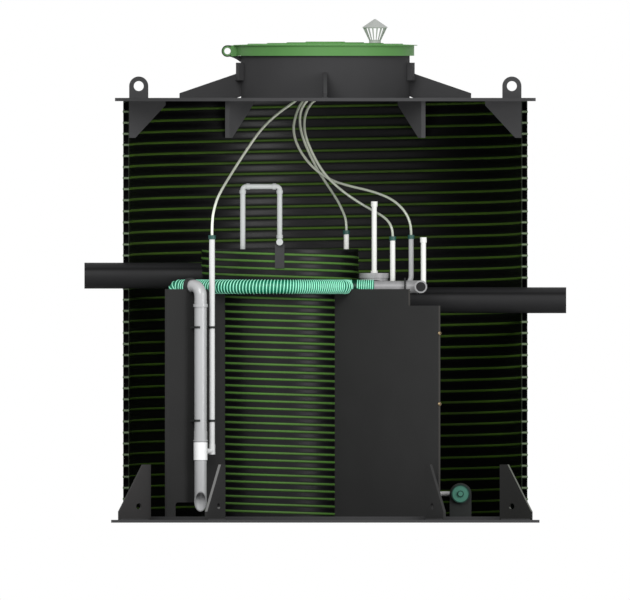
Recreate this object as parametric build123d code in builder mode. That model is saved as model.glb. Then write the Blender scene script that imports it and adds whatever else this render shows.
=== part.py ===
from build123d import *
from math import cos, pi, radians, sin, sqrt, tan
import os

os.makedirs("parts", exist_ok=True)

# Packaged sewage treatment plant, shown as a cutaway: the front half of the round tank's wall is
# cut away at the middle plane. Sizes are in millimetres. X points right, Y to the back, Z up, and
# the origin is the middle of the base plate's underside.

# Base, floor and tank wall
base_plate_side = 1812
base_plate_thickness = 12
floor_thickness = 14
wall_outer_radius = 855
wall_thickness = 25
wall_top = 1783
wall_segment_count = 4
cell_pitch = 46.8
cell_width = 18
cell_height = 38
cell_depth_angle = 3
seat_gap = 0.3

# Gussets that stiffen the wall's foot
gusset_angles = (30, 60, 120, 150, 210, 240, 300, 330)
gusset_thickness = 12
gusset_width = 154
gusset_height = 234
gusset_toe_height = 35
gusset_top_width = 38
gusset_hole_radius = 13
gusset_hole_inset = 59
gusset_hole_height = 57

# Top plate, lifting lugs and the gussets that hang under the plate
top_plate_overhang = 35
top_plate_thickness = 14
lug_thickness = 20
lug_width = 81
lug_eye_height = 50
lug_eye_radius = 21
lug_web_width = 154
top_gusset_angles = (60, 120, 240, 300)
top_gusset_width = 200
top_gusset_height = 155
top_gusset_toe_width = 26
top_gusset_step = 17

# Neck, its braces and its pads
neck_outer_radius = 357
neck_wall = 12
neck_height = 211
brace_reach = 260
brace_toe_height = 20
brace_height = 109
brace_thickness = 15
brace_notch_width = 15
brace_notch_height = 6
pad_thickness = 21
pad_foot_height = 74
pad_height = 75
pad_angle = 30

# Lid, hinge and vent cowl
lid_skirt_radius = 376
lid_skirt_wall = 10
lid_skirt_drop = 33
lid_lip_radius = 389
lid_lip_height = 10
lid_dome_height = 14
lid_thickness = 8
lid_seat_width = 31
lid_ridge_radii = (80, 160, 243, 325)
lid_ridge_width = 9
lid_ridge_height = 3
hinge_offset = 414
hinge_drop = 13
hinge_lug_radius = 25
hinge_lug_thickness = 12
hinge_eye_radius = 22
hinge_cheek_width = 30
hinge_side_gap = 1
hinge_pin_radius = 17
hinge_pin_bore = 13.5
hinge_running_gap = 0.08
hinge_cheek_drop = 5
hinge_skirt_gap = 7
hinge_arm_radius = 108
lid_lug_overlap = 4
vent_offset = 210
vent_radius = 25
vent_wall = 3
vent_rise = 12
vent_slat_radius = 52
vent_slat_rise = 55
vent_slat_count = 16
vent_slat_share = 0.3
vent_cap_radius = 56
vent_cap_rise = 36

# Inlet, outlet and the inner tank
pipe_radius = 55
pipe_wall = 5
pipe_reach = 1019
inlet_height = 1045
outlet_height = 941
outlet_inner_end = 330
inlet_spout = 4
inner_tank_x = -192
inner_tank_radius = 332
inner_tank_wall = 20
inner_tank_height = 1131

# Partitions between the inner tank and the wall
partition_thickness = 10
partition_height = 962
right_partition_angle = -45
left_partition_angle = -135
right_notch_start = 774
right_notch_depth = 70
passage_start = 425
passage_end = 629
passage_height = 60
passage_corner = 14

# Air lift beside the left partition, placed along it and out from it
airlift_along = 536
airlift_out = 61
airlift_radius = 26.25
airlift_wall = 3
airlift_foot = 47
airlift_bevel = 85
airlift_socket_radius = 28.2
airlift_socket_bottom = 344
airlift_socket_height = 43
airlift_rim_radius = 31
airlift_rim_height = 6
collar_bottom = 265
collar_height = 75
collar_radius = 29.3
elbow_rim_depth = 10
elbow_rise = 14
elbow_drop = 80
elbow_bend_radius = 42
elbow_past_partition = 12
grommet_radius = 34
grommet_length = 18
air_line_along = 467
air_line_radius = 12
air_line_wall = 2
air_line_bottom = 302
air_line_socket_radius = 13.5
air_line_socket_height = 30
clip_heights = (427, 822)
clip_height = 9
clip_rim = 3.5
clip_arm_width = 9
clip_gap = 0.3
clip_mouth_angle = 48

# Transfer hose, round the front of the inner tank and over both partitions
hose_rise = 10
hose_radius = 31.5
hose_wall = 4
hose_ring_radius = 404.5
hose_start = (206, -239)
hose_cross_x = 88
hose_leave_angle = 60
hose_past_dip = 158
hose_drop_x = -636
hose_drop_y = -150
hose_drop_bend = 38
hose_end_height = 700

# Siphon over the inner tank's front rim
siphon_radius = 11
siphon_wall = 2.5
siphon_y = -250
siphon_left_x = -349
siphon_right_x = -193
siphon_top = 1422
siphon_bend = 16
siphon_socket_radius = 13.5
siphon_socket_length = 14
siphon_foot = 520
siphon_spout_height = 1187
siphon_spout_y = -356
siphon_cap_radius = 14
siphon_cap_thickness = 5
siphon_bracket_width = 40
siphon_bracket_thickness = 8
siphon_bracket_bottom = 1076

# Fittings behind the right partition
fitting_y = -239
fitting_pipe_radius = 25
fitting_pipe_wall = 3
tee_start = 341
tee_radius = 26.6
tee_branch_x = 404
tee_branch_reach = 52
tee_plug_radius = 20
tee_plug_length = 16
gasket_radius = 38
gasket_length = 8
pot_x = 207
pot_y = -167
pot_radius = 59
pot_height = 72
pot_cap_radius = 63.5
pot_cap_height = 21
shelf_thickness = 8
shelf_drop = 35
shelf_left = 110
shelf_right = 325
shelf_front = -262
shelf_back = -85
saddle_width = 24

# Upright air pipes: white ones by name, with their place and the height of their top
riser_radius = 11
riser_cap_radius = 14
riser_cap_height = 22
pot_riser_top = 1359
pot_socket_radius = 15
pot_socket_height = 10
skimmer_riser_x = 285
skimmer_riser_y = -190
skimmer_riser_top = 1197
capped_riser_x = 415
capped_riser_top = 1207
inner_riser_x = 89
inner_riser_y = -60
inner_riser_top = 1223

# Diffuser and its air line
diffuser_x = 572
diffuser_height = 122
diffuser_radius = 32
diffuser_half_length = 300
diffuser_cap_radius = 39
diffuser_cap_thickness = 8
diffuser_rim_width = 5
diffuser_rim_depth = 3
diffuser_boss_radius = 13
diffuser_boss_length = 5
diffuser_bracket_width = 92
diffuser_bracket_thickness = 10
diffuser_bracket_inset = 12
diffuser_line_radius = 10.5
diffuser_line_x = 363
diffuser_line_lower_x = 338
diffuser_jog_top = 1035
diffuser_jog_bottom = 980
diffuser_line_y = -180
diffuser_line_top = 1203
diffuser_line_bend = 30

# Air hoses, their sleeves on the pipes and the manifold inside the neck
sleeve_wall = 3.5
sleeve_height = 17
sleeve_overlap = 3
air_hose_radius = 5.5
manifold_x = -40
manifold_y = 290
manifold_length = 160
manifold_height = 1945
manifold_radius = 20
nozzle_radius = 7.5
nozzle_end = 1915
nozzle_places = (-100, -60, -20, 20)
manifold_arm_thickness = 12
manifold_arm_places = (-80, 0)

# Heights and radii that follow from the sizes above
floor_top = base_plate_thickness + floor_thickness
wall_inner_radius = wall_outer_radius - wall_thickness
wall_height = wall_top - floor_top
top_plate_radius = wall_outer_radius + top_plate_overhang
plate_top = wall_top + top_plate_thickness
neck_rim = plate_top + neck_height
neck_inner_radius = neck_outer_radius - neck_wall
lid_seat = neck_rim + seat_gap
hinge_height = neck_rim - hinge_drop
partition_top = floor_top + partition_height
hose_height = partition_top + hose_rise
elbow_height = partition_top + elbow_rise
airlift_top = elbow_height - elbow_drop
hose_dip = hose_radius + seat_gap
air_line_top = 1202


def save(piece, name):
    """Label a finished piece and write its STEP file."""
    piece.label = name
    export_step(piece, f"parts/{name}.step")


def upright_plane(angle, centre=0):
    """Upright plane through the axis at x = centre, its x pointing outwards at the angle."""
    outward = (cos(radians(angle)), sin(radians(angle)), 0)
    sideways = (sin(radians(angle)), -cos(radians(angle)), 0)
    return Plane(origin=(centre, 0, 0), x_dir=outward, z_dir=sideways)


def beside_partition(height):
    """Level plane beside the left partition: x runs along it from the inner tank, y out from it."""
    along = (cos(radians(left_partition_angle)), sin(radians(left_partition_angle)), 0)
    return Plane(origin=(inner_tank_x, 0, height), x_dir=along, z_dir=(0, 0, 1))


# Square base plate
with BuildPart() as base_plate:
    with BuildSketch():
        Rectangle(base_plate_side, base_plate_side)
    extrude(amount=base_plate_thickness)
save(base_plate.part, "base_plate")

# Round floor of the tank, welded on the base plate
with BuildPart() as tank_floor:
    with BuildSketch(Plane.XY.offset(base_plate_thickness)):
        Circle(wall_outer_radius)
    extrude(amount=floor_thickness)
save(tank_floor.part, "tank_floor")

# Gussets between the base plate and the wall's foot, each with a hole near its toe
with BuildPart() as base_gussets:
    for angle in gusset_angles:
        inner = wall_outer_radius + seat_gap
        outer = wall_outer_radius + gusset_width
        foot = base_plate_thickness
        with BuildSketch(upright_plane(angle)):
            with BuildLine():
                Polyline(
                    (inner, foot),
                    (outer, foot),
                    (outer, foot + gusset_toe_height),
                    (inner + gusset_top_width, foot + gusset_height),
                    (inner, foot + gusset_height),
                    close=True,
                )
            make_face()
            with Locations((wall_outer_radius + gusset_hole_inset, foot + gusset_hole_height)):
                Circle(gusset_hole_radius, mode=Mode.SUBTRACT)
        extrude(amount=gusset_thickness / 2, both=True)
save(base_gussets.part, "base_gussets")

# Rear half of the wall, wound from a hollow profile whose cells are open at the two cut faces
segment_angle = 180 / wall_segment_count
wall_middle_radius = wall_outer_radius - wall_thickness / 2
first_cell = wall_top - 0.45 * cell_pitch
cell_count = int((first_cell - cell_pitch / 2 - floor_top) / cell_pitch) + 1
cell_places = [(wall_middle_radius, first_cell - cell_pitch * k) for k in range(cell_count)]
for index in range(wall_segment_count):
    with BuildPart() as wall_segment:
        with BuildSketch(upright_plane(index * segment_angle)):
            with Locations((wall_middle_radius, floor_top + wall_height / 2)):
                Rectangle(wall_thickness, wall_height)
        revolve(axis=Axis.Z, revolution_arc=segment_angle)
        if index == 0:
            with BuildSketch(upright_plane(0)):
                with Locations(cell_places):
                    Rectangle(cell_width, cell_height)
            revolve(axis=Axis.Z, revolution_arc=cell_depth_angle, mode=Mode.SUBTRACT)
            with BuildSketch(Plane.YZ):
                with Locations((0, outlet_height)):
                    Circle(pipe_radius + seat_gap)
            extrude(amount=pipe_reach, mode=Mode.SUBTRACT)
        if index == wall_segment_count - 1:
            with BuildSketch(upright_plane(180 - cell_depth_angle)):
                with Locations(cell_places):
                    Rectangle(cell_width, cell_height)
            revolve(axis=Axis.Z, revolution_arc=cell_depth_angle, mode=Mode.SUBTRACT)
            with BuildSketch(Plane.YZ):
                with Locations((0, inlet_height)):
                    Circle(pipe_radius + seat_gap)
            extrude(amount=-pipe_reach, mode=Mode.SUBTRACT)
    save(wall_segment.part, f"wall_segment_{index + 1}")

# Round top plate with the manhole and a slot for each lifting lug
lug_outer = wall_inner_radius - seat_gap
lug_middle = lug_outer - lug_width / 2
with BuildPart() as top_plate:
    with BuildSketch(Plane.XY.offset(wall_top)):
        Circle(top_plate_radius)
        Circle(neck_inner_radius, mode=Mode.SUBTRACT)
        with Locations((lug_middle, 0), (-lug_middle, 0)):
            Rectangle(lug_width + 2 * seat_gap, lug_thickness + 2 * seat_gap, mode=Mode.SUBTRACT)
    extrude(amount=top_plate_thickness)
save(top_plate.part, "top_plate")

# Lifting lugs: an eye above the top plate and a web below it, cut from one plate
web_step = wall_top - top_gusset_step
web_foot = wall_top - top_gusset_height
eye_height = plate_top + lug_eye_height
with BuildPart() as lifting_lugs:
    with BuildSketch(Plane.XZ) as lug_outline:
        with BuildLine():
            web = Polyline(
                (lug_outer - lug_width, eye_height),
                (lug_outer - lug_width, wall_top),
                (lug_outer - lug_web_width, wall_top),
                (lug_outer - lug_web_width, web_step),
                (lug_outer - top_gusset_toe_width, web_foot),
                (lug_outer, web_foot),
                (lug_outer, eye_height),
            )
            TangentArc(web @ 1, web @ 0, tangent=(0, 1))
        make_face()
        with Locations((lug_middle, eye_height)):
            Circle(lug_eye_radius, mode=Mode.SUBTRACT)
        mirror(about=Plane.YZ)
    extrude(amount=lug_thickness / 2, both=True)
save(lifting_lugs.part, "lifting_lugs")

# Gussets under the top plate
with BuildPart() as top_gussets:
    for angle in top_gusset_angles:
        with BuildSketch(upright_plane(angle)):
            with BuildLine():
                Polyline(
                    (lug_outer - top_gusset_width, wall_top),
                    (lug_outer - top_gusset_width, web_step),
                    (lug_outer - top_gusset_toe_width, web_foot),
                    (lug_outer, web_foot),
                    (lug_outer, wall_top),
                    close=True,
                )
            make_face()
        extrude(amount=lug_thickness / 2, both=True)
save(top_gussets.part, "top_gussets")

# Neck of the manhole
with BuildPart() as neck:
    with BuildSketch(Plane.XY.offset(plate_top)):
        Circle(neck_outer_radius)
        Circle(neck_inner_radius, mode=Mode.SUBTRACT)
    extrude(amount=neck_height)
save(neck.part, "neck")

# Braces round the neck; the two beside the pads are cut back to clear them
brace_inner = neck_outer_radius + seat_gap
brace_outer = neck_outer_radius + brace_reach
pad_outer = brace_inner + pad_thickness
pad_foot = plate_top + pad_foot_height
with BuildPart() as neck_braces:
    for angle in (0, 90, 180, 270):
        with BuildSketch(upright_plane(angle)):
            with BuildLine():
                Polyline(
                    (brace_inner + brace_notch_width, plate_top),
                    (brace_outer, plate_top),
                    (brace_outer, plate_top + brace_toe_height),
                    (brace_inner, plate_top + brace_height),
                    (brace_inner, plate_top + brace_notch_height),
                    close=True,
                )
            make_face()
            if angle in (0, 180):
                corner = (brace_inner, pad_foot - seat_gap)
                with Locations(corner):
                    Rectangle(
                        pad_thickness + seat_gap,
                        brace_height,
                        align=(Align.MIN, Align.MIN),
                        mode=Mode.SUBTRACT,
                    )
        extrude(amount=brace_thickness / 2, both=True)
save(neck_braces.part, "neck_braces")

# Curved pads on the neck's left and right
with BuildPart() as neck_pads:
    for angle in (0, 180):
        with BuildSketch(upright_plane(angle - pad_angle / 2)):
            with Locations((brace_inner, pad_foot)):
                Rectangle(pad_thickness, pad_height, align=(Align.MIN, Align.MIN))
        revolve(axis=Axis.Z, revolution_arc=pad_angle)
save(neck_pads.part, "neck_pads")

# Hinge bracket: a cheek that reaches from the neck out under the lid's skirt
cheek_foot = pad_foot + pad_height + seat_gap
cheek_top = neck_rim - lid_skirt_drop - hinge_cheek_drop
cheek_clear = lid_skirt_radius + hinge_skirt_gap
hinge_centre = (-hinge_offset, hinge_height)
with BuildPart() as hinge_bracket:
    with BuildSketch(Plane.XZ):
        with BuildLine():
            arm = Polyline(
                (-brace_inner, cheek_foot),
                (-brace_inner, cheek_top),
                (-cheek_clear, cheek_top),
                (-cheek_clear, hinge_height),
                (-hinge_offset, hinge_height),
                (-hinge_offset, hinge_height - hinge_eye_radius),
            )
            RadiusArc(arm @ 1, arm @ 0, hinge_arm_radius)
        make_face()
        with Locations(hinge_centre):
            Circle(hinge_eye_radius)
            Circle(hinge_pin_radius, mode=Mode.SUBTRACT)
    extrude(amount=hinge_cheek_width / 2, both=True)
save(hinge_bracket.part, "hinge_bracket")

# Hollow hinge pin through the bracket's cheek and the lid's two lugs
hinge_lug_middle = hinge_cheek_width / 2 + hinge_side_gap + hinge_lug_thickness / 2
pin_half_length = hinge_lug_middle + hinge_lug_thickness / 2
with BuildPart() as hinge_pin:
    with BuildSketch(Plane.XZ):
        with Locations(hinge_centre):
            Circle(hinge_pin_radius - hinge_running_gap / 2)
            Circle(hinge_pin_bore, mode=Mode.SUBTRACT)
    extrude(amount=pin_half_length, both=True)
save(hinge_pin.part, "hinge_pin")

# Lid: a shallow ribbed dome with a lip and a skirt, and two hinge lugs at its left
lip_bottom = neck_rim + lid_lip_height
lid_edge = lip_bottom + lid_ridge_height
lid_centre = lid_edge + lid_dome_height
lid_slope = lid_dome_height / lid_lip_radius
lid_seat_radius = lid_skirt_radius - lid_skirt_wall
lug_root = lid_skirt_radius - lid_lug_overlap


def lid_height(radius):
    """Height of the lid's plain top surface at a radius."""
    return lid_centre - lid_slope * radius


ridge_outline = []
for ridge_radius in lid_ridge_radii:
    ridge_inner = ridge_radius - lid_ridge_width / 2
    ridge_outer = ridge_radius + lid_ridge_width / 2
    ridge_outline += [
        (ridge_inner, lid_height(ridge_inner)),
        (ridge_inner + lid_ridge_height / 2, lid_height(ridge_inner) + lid_ridge_height),
        (ridge_outer - lid_ridge_height / 2, lid_height(ridge_outer) + lid_ridge_height),
        (ridge_outer, lid_height(ridge_outer)),
    ]
with BuildPart() as lid:
    with BuildSketch(Plane.XZ):
        with BuildLine():
            Polyline(
                (0, lid_height(0) - lid_thickness),
                (0, lid_height(0)),
                *ridge_outline,
                (lid_lip_radius, lid_edge),
                (lid_lip_radius, lip_bottom),
                (lid_skirt_radius, lip_bottom),
                (lid_skirt_radius, neck_rim - lid_skirt_drop),
                (lid_seat_radius, neck_rim - lid_skirt_drop),
                (lid_seat_radius, lid_seat),
                (lid_seat_radius - lid_seat_width, lid_seat),
                (lid_seat_radius - lid_seat_width, lid_height(lid_seat_radius) - lid_thickness),
                close=True,
            )
        make_face()
    revolve(axis=Axis.Z)
    for side in (-1, 1):
        with BuildSketch(Plane.XZ.offset(side * hinge_lug_middle)):
            with Locations(hinge_centre):
                Circle(hinge_lug_radius)
            with BuildLine():
                Polyline(
                    (-hinge_offset, hinge_height - hinge_lug_radius),
                    (-lug_root, neck_rim - lid_skirt_drop),
                    (-lug_root, lip_bottom),
                    (-hinge_offset, hinge_height + hinge_lug_radius),
                    close=True,
                )
            make_face()
        extrude(amount=hinge_lug_thickness / 2, both=True)
    with BuildSketch(Plane.XZ):
        with Locations(hinge_centre):
            Circle(hinge_pin_radius + hinge_running_gap / 2)
    extrude(amount=2 * hinge_lug_middle, both=True, mode=Mode.SUBTRACT)
    with BuildSketch(Plane.XY.offset(lid_seat)):
        with Locations((vent_offset, 0)):
            Circle(vent_radius + seat_gap)
    extrude(amount=lid_centre, mode=Mode.SUBTRACT)
save(lid.part, "lid")

# Vent cowl: a pipe through the lid, slanted slats and a conical cap
vent_top = lid_height(vent_offset) + vent_rise
slat_top = vent_top + vent_slat_rise
slot_inner = vent_radius / 2
slot_outer = vent_cap_radius + vent_wall
slot_spread = tan(pi / vent_slat_count * (1 - vent_slat_share))
with BuildPart() as vent_cowl:
    with BuildSketch(Plane.XZ):
        with BuildLine():
            Polyline(
                (vent_offset + vent_radius - vent_wall, lid_seat + seat_gap),
                (vent_offset + vent_radius, lid_seat + seat_gap),
                (vent_offset + vent_radius, vent_top),
                (vent_offset + vent_slat_radius, slat_top),
                (vent_offset + vent_cap_radius, slat_top),
                (vent_offset + vent_wall, slat_top + vent_cap_rise),
                (vent_offset, slat_top + vent_cap_rise),
                (vent_offset, slat_top + 2 * vent_wall),
                (vent_offset + vent_slat_radius - 2 * vent_wall, slat_top),
                (vent_offset + vent_radius - vent_wall, vent_top),
                close=True,
            )
        make_face()
    revolve(axis=Axis((vent_offset, 0, 0), (0, 0, 1)))
    with BuildSketch(Plane.XY.offset(vent_top + vent_wall)):
        with Locations((vent_offset, 0)):
            with PolarLocations(0, vent_slat_count):
                Polygon(
                    (slot_inner, -slot_inner * slot_spread),
                    (slot_outer, -slot_outer * slot_spread),
                    (slot_outer, slot_outer * slot_spread),
                    (slot_inner, slot_inner * slot_spread),
                    align=None,
                )
    extrude(amount=vent_slat_rise - 2 * vent_wall, mode=Mode.SUBTRACT)
save(vent_cowl.part, "vent_cowl")

# Inlet pipe, through the cut wall into the inner tank
inlet_inner_end = inner_tank_x - inner_tank_radius + inner_tank_wall + inlet_spout
with BuildPart() as inlet_pipe:
    with BuildSketch(Plane.YZ.offset(-pipe_reach)):
        with Locations((0, inlet_height)):
            Circle(pipe_radius)
            Circle(pipe_radius - pipe_wall, mode=Mode.SUBTRACT)
    extrude(amount=pipe_reach + inlet_inner_end)
save(inlet_pipe.part, "inlet_pipe")

# Outlet pipe
with BuildPart() as outlet_pipe:
    with BuildSketch(Plane.YZ.offset(outlet_inner_end)):
        with Locations((0, outlet_height)):
            Circle(pipe_radius)
            Circle(pipe_radius - pipe_wall, mode=Mode.SUBTRACT)
    extrude(amount=pipe_reach - outlet_inner_end)
save(outlet_pipe.part, "outlet_pipe")

# Inner tank, open at its top, with a hole for the inlet pipe
with BuildPart() as inner_tank:
    with BuildSketch(Plane.XY.offset(floor_top)):
        with Locations((inner_tank_x, 0)):
            Circle(inner_tank_radius)
            Circle(inner_tank_radius - inner_tank_wall, mode=Mode.SUBTRACT)
    extrude(amount=inner_tank_height)
    with BuildSketch(Plane.YZ.offset(-pipe_reach)):
        with Locations((0, inlet_height)):
            Circle(pipe_radius + seat_gap)
    extrude(amount=pipe_reach + inner_tank_x, mode=Mode.SUBTRACT)
save(inner_tank.part, "inner_tank")


def wall_reach(angle):
    """Distance from the inner tank's axis to the wall's inner face along the angle."""
    toward = inner_tank_x * cos(radians(angle))
    return sqrt(toward ** 2 + wall_inner_radius ** 2 - inner_tank_x ** 2) - toward - seat_gap


partition_start = inner_tank_radius + seat_gap

# Route of the transfer hose: from the fittings forward over the right partition, round the inner
# tank's front, back over the left partition and down
leave_angle = radians(hose_leave_angle)
ring_start = (
    inner_tank_x + hose_ring_radius * cos(leave_angle),
    -hose_ring_radius * sin(leave_angle),
    hose_height,
)
cross_y = ring_start[1] + (hose_cross_x - ring_start[0]) / tan(leave_angle)
cross_run = hose_start[1] - cross_y
left_angle = radians(left_partition_angle)
left_dip = (
    inner_tank_x + hose_ring_radius * cos(left_angle),
    hose_ring_radius * sin(left_angle),
    hose_height,
)
past_left_dip = (
    left_dip[0] + hose_past_dip * sin(left_angle),
    left_dip[1] - hose_past_dip * cos(left_angle),
    hose_height,
)
with BuildLine() as hose_path:
    FilletPolyline(
        (hose_start[0], hose_start[1], hose_height),
        (hose_cross_x, hose_start[1], hose_height),
        (hose_cross_x, cross_y, hose_height),
        ring_start,
        radius=(0.53 * cross_run, 0.45 * cross_run / tan(leave_angle / 2)),
    )
    ThreePointArc(ring_start, (inner_tank_x, -hose_ring_radius, hose_height), left_dip)
    FilletPolyline(
        left_dip,
        past_left_dip,
        (hose_drop_x, hose_drop_y, hose_height),
        (hose_drop_x, hose_drop_y, hose_end_height),
        radius=hose_drop_bend,
    )
with BuildPart() as hose_room:
    with BuildSketch(hose_path.line ^ 0):
        Circle(hose_dip)
    sweep(path=hose_path.line)

# Right partition: a dip for the transfer hose and a lower edge near the wall
with BuildPart() as partition_right:
    with BuildSketch(upright_plane(right_partition_angle, inner_tank_x)):
        with BuildLine():
            Polyline(
                (partition_start, floor_top),
                (wall_reach(right_partition_angle), floor_top),
                (wall_reach(right_partition_angle), partition_top - right_notch_depth),
                (right_notch_start, partition_top - right_notch_depth),
                (right_notch_start, partition_top),
                (partition_start, partition_top),
                close=True,
            )
        make_face()
    extrude(amount=partition_thickness / 2, both=True)
    add(hose_room.part, mode=Mode.SUBTRACT)
save(partition_right.part, "partition_right")

# Left partition: dips for the hose and the air lift's elbow, and a passage at the floor
with BuildPart() as partition_left:
    with BuildSketch(upright_plane(left_partition_angle, inner_tank_x)):
        with BuildLine():
            sill = Polyline(
                (passage_end, floor_top + passage_height - passage_corner),
                (passage_end, floor_top),
                (wall_reach(left_partition_angle), floor_top),
                (wall_reach(left_partition_angle), partition_top),
                (partition_start, partition_top),
                (partition_start, floor_top),
                (passage_start, floor_top),
                (passage_start, floor_top + passage_height),
                (passage_end - passage_corner, floor_top + passage_height),
            )
            TangentArc(sill @ 1, sill @ 0, tangent=(1, 0))
        make_face()
        with Locations((airlift_along, elbow_height)):
            Circle(grommet_radius + seat_gap, mode=Mode.SUBTRACT)
    extrude(amount=partition_thickness / 2, both=True)
    add(hose_room.part, mode=Mode.SUBTRACT)
save(partition_left.part, "partition_left")

# Air lift pipe with a bevelled foot and a socket above its mixing collar
airlift_centre = beside_partition(0).from_local_coords((airlift_along, airlift_out, 0))
with BuildPart() as airlift_pipe:
    with BuildSketch(Plane.XY.offset(airlift_foot)):
        with Locations((airlift_centre.X, airlift_centre.Y)):
            Circle(airlift_radius)
    extrude(amount=airlift_top - airlift_foot)
    with BuildSketch(Plane.XY.offset(airlift_socket_bottom)):
        with Locations((airlift_centre.X, airlift_centre.Y)):
            Circle(airlift_socket_radius)
    extrude(amount=airlift_socket_height)
    with BuildSketch(Plane.XY.offset(airlift_socket_bottom)):
        with Locations((airlift_centre.X, airlift_centre.Y)):
            Circle(airlift_rim_radius)
    extrude(amount=airlift_rim_height)
    with BuildSketch(Plane.XY.offset(airlift_foot)):
        with Locations((airlift_centre.X, airlift_centre.Y)):
            Circle(airlift_radius - airlift_wall)
    extrude(amount=airlift_top - airlift_foot, mode=Mode.SUBTRACT)
    front = airlift_centre.Y - airlift_radius
    back = airlift_centre.Y + airlift_radius
    with BuildSketch(Plane.YZ.offset(airlift_centre.X)):
        with BuildLine():
            Polyline(
                (front, airlift_foot),
                (back, airlift_foot),
                (front, airlift_foot + airlift_bevel),
                close=True,
            )
        make_face()
    extrude(amount=2 * airlift_radius, both=True, mode=Mode.SUBTRACT)
save(airlift_pipe.part, "airlift_pipe")

# Mixing collar round the air lift
with BuildPart() as airlift_collar:
    with BuildSketch(Plane.XY.offset(collar_bottom)):
        with Locations((airlift_centre.X, airlift_centre.Y)):
            Circle(collar_radius)
            Circle(airlift_radius + seat_gap, mode=Mode.SUBTRACT)
    extrude(amount=collar_height)
save(airlift_collar.part, "airlift_collar")

# Elbow from the air lift's top, back through the left partition
elbow_start = beside_partition(airlift_top).from_local_coords((airlift_along, airlift_out, 0))
elbow_corner = beside_partition(elbow_height).from_local_coords((airlift_along, airlift_out, 0))
elbow_end = beside_partition(elbow_height).from_local_coords((airlift_along, -elbow_past_partition, 0))
with BuildPart() as airlift_elbow:
    with BuildLine() as elbow_path:
        FilletPolyline(elbow_start, elbow_corner, elbow_end, radius=elbow_bend_radius)
    with BuildSketch(elbow_path.line ^ 0):
        Circle(airlift_radius)
        Circle(airlift_radius - airlift_wall, mode=Mode.SUBTRACT)
    sweep(path=elbow_path.line)
    with BuildSketch(Plane.XY.offset(airlift_top - elbow_rim_depth)):
        with Locations((airlift_centre.X, airlift_centre.Y)):
            Circle(airlift_rim_radius)
            Circle(airlift_radius + seat_gap, mode=Mode.SUBTRACT)
    extrude(amount=elbow_rim_depth)
    with BuildSketch(Plane.XY.offset(airlift_top)):
        with Locations((airlift_centre.X, airlift_centre.Y)):
            Circle(airlift_rim_radius)
            Circle(airlift_radius - airlift_wall, mode=Mode.SUBTRACT)
    extrude(amount=airlift_wall)
save(airlift_elbow.part, "airlift_elbow")

# Rubber grommet in the left partition, round the elbow
grommet_front = beside_partition(elbow_height).from_local_coords((airlift_along, grommet_length / 2, 0))
grommet_back = beside_partition(elbow_height).from_local_coords((airlift_along, -grommet_length / 2, 0))
with BuildPart() as airlift_grommet:
    with BuildSketch(Plane(origin=grommet_front, z_dir=grommet_back - grommet_front)):
        Circle(grommet_radius)
        Circle(airlift_radius + seat_gap, mode=Mode.SUBTRACT)
    extrude(amount=grommet_length)
save(airlift_grommet.part, "airlift_grommet")

# Air line that feeds the mixing collar through a square elbow
line_foot = air_line_bottom - air_line_socket_radius
line_run = airlift_along - collar_radius - seat_gap - air_line_along
line_corner = beside_partition(air_line_bottom).from_local_coords((air_line_along, airlift_out, 0))
line_entry = beside_partition(air_line_bottom).from_local_coords((airlift_along, airlift_out, 0))
line_top = beside_partition(air_line_top).from_local_coords((air_line_along, airlift_out, 0))
with BuildPart() as airlift_air_line:
    with BuildSketch(Plane.XY.offset(line_foot)):
        with Locations((line_top.X, line_top.Y)):
            Circle(air_line_radius)
    extrude(amount=air_line_top - line_foot)
    with BuildSketch(Plane.XY.offset(line_foot)):
        with Locations((line_top.X, line_top.Y)):
            Circle(air_line_socket_radius)
    extrude(amount=air_line_socket_radius + air_line_socket_height)
    with BuildSketch(Plane(origin=line_corner, z_dir=line_entry - line_corner)):
        Circle(air_line_radius)
    extrude(amount=line_run)
    with BuildSketch(Plane.XY.offset(line_foot + air_line_wall)):
        with Locations((line_top.X, line_top.Y)):
            Circle(air_line_radius - air_line_wall)
    extrude(amount=air_line_top - line_foot, mode=Mode.SUBTRACT)
    with BuildSketch(Plane(origin=line_corner, z_dir=line_entry - line_corner)):
        Circle(air_line_radius - air_line_wall)
    extrude(amount=line_run, mode=Mode.SUBTRACT)
save(airlift_air_line.part, "airlift_air_line")

# Clips that hold the air lift and its air line to the partition; the air lift's are open in front
clip_hole = airlift_radius + clip_gap
line_clip_hole = air_line_radius + clip_gap
clip_reach = partition_thickness / 2 + seat_gap
mouth_reach = 2 * clip_hole
mouth_half_width = mouth_reach * tan(radians(clip_mouth_angle))
with BuildPart() as pipe_clips:
    for height in clip_heights:
        with BuildSketch(beside_partition(height)):
            with Locations((airlift_along, airlift_out)):
                Circle(clip_hole + clip_rim)
                Polygon(
                    (0, 0),
                    (mouth_half_width, mouth_reach),
                    (-mouth_half_width, mouth_reach),
                    align=None,
                    mode=Mode.SUBTRACT,
                )
            with Locations((air_line_along, airlift_out)):
                Circle(line_clip_hole + clip_rim)
            for along in (airlift_along, air_line_along):
                with Locations((along, clip_reach)):
                    Rectangle(
                        clip_arm_width,
                        airlift_out - clip_reach,
                        align=(Align.CENTER, Align.MIN),
                    )
            with Locations((airlift_along, airlift_out)):
                Circle(clip_hole, mode=Mode.SUBTRACT)
            with Locations((air_line_along, airlift_out)):
                Circle(line_clip_hole, mode=Mode.SUBTRACT)
        extrude(amount=clip_height)
save(pipe_clips.part, "pipe_clips")

# Transfer hose along its route
with BuildPart() as transfer_hose:
    with BuildSketch(hose_path.line ^ 0):
        Circle(hose_radius)
        Circle(hose_radius - hose_wall, mode=Mode.SUBTRACT)
    sweep(path=hose_path.line)
save(transfer_hose.part, "transfer_hose")

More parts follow.
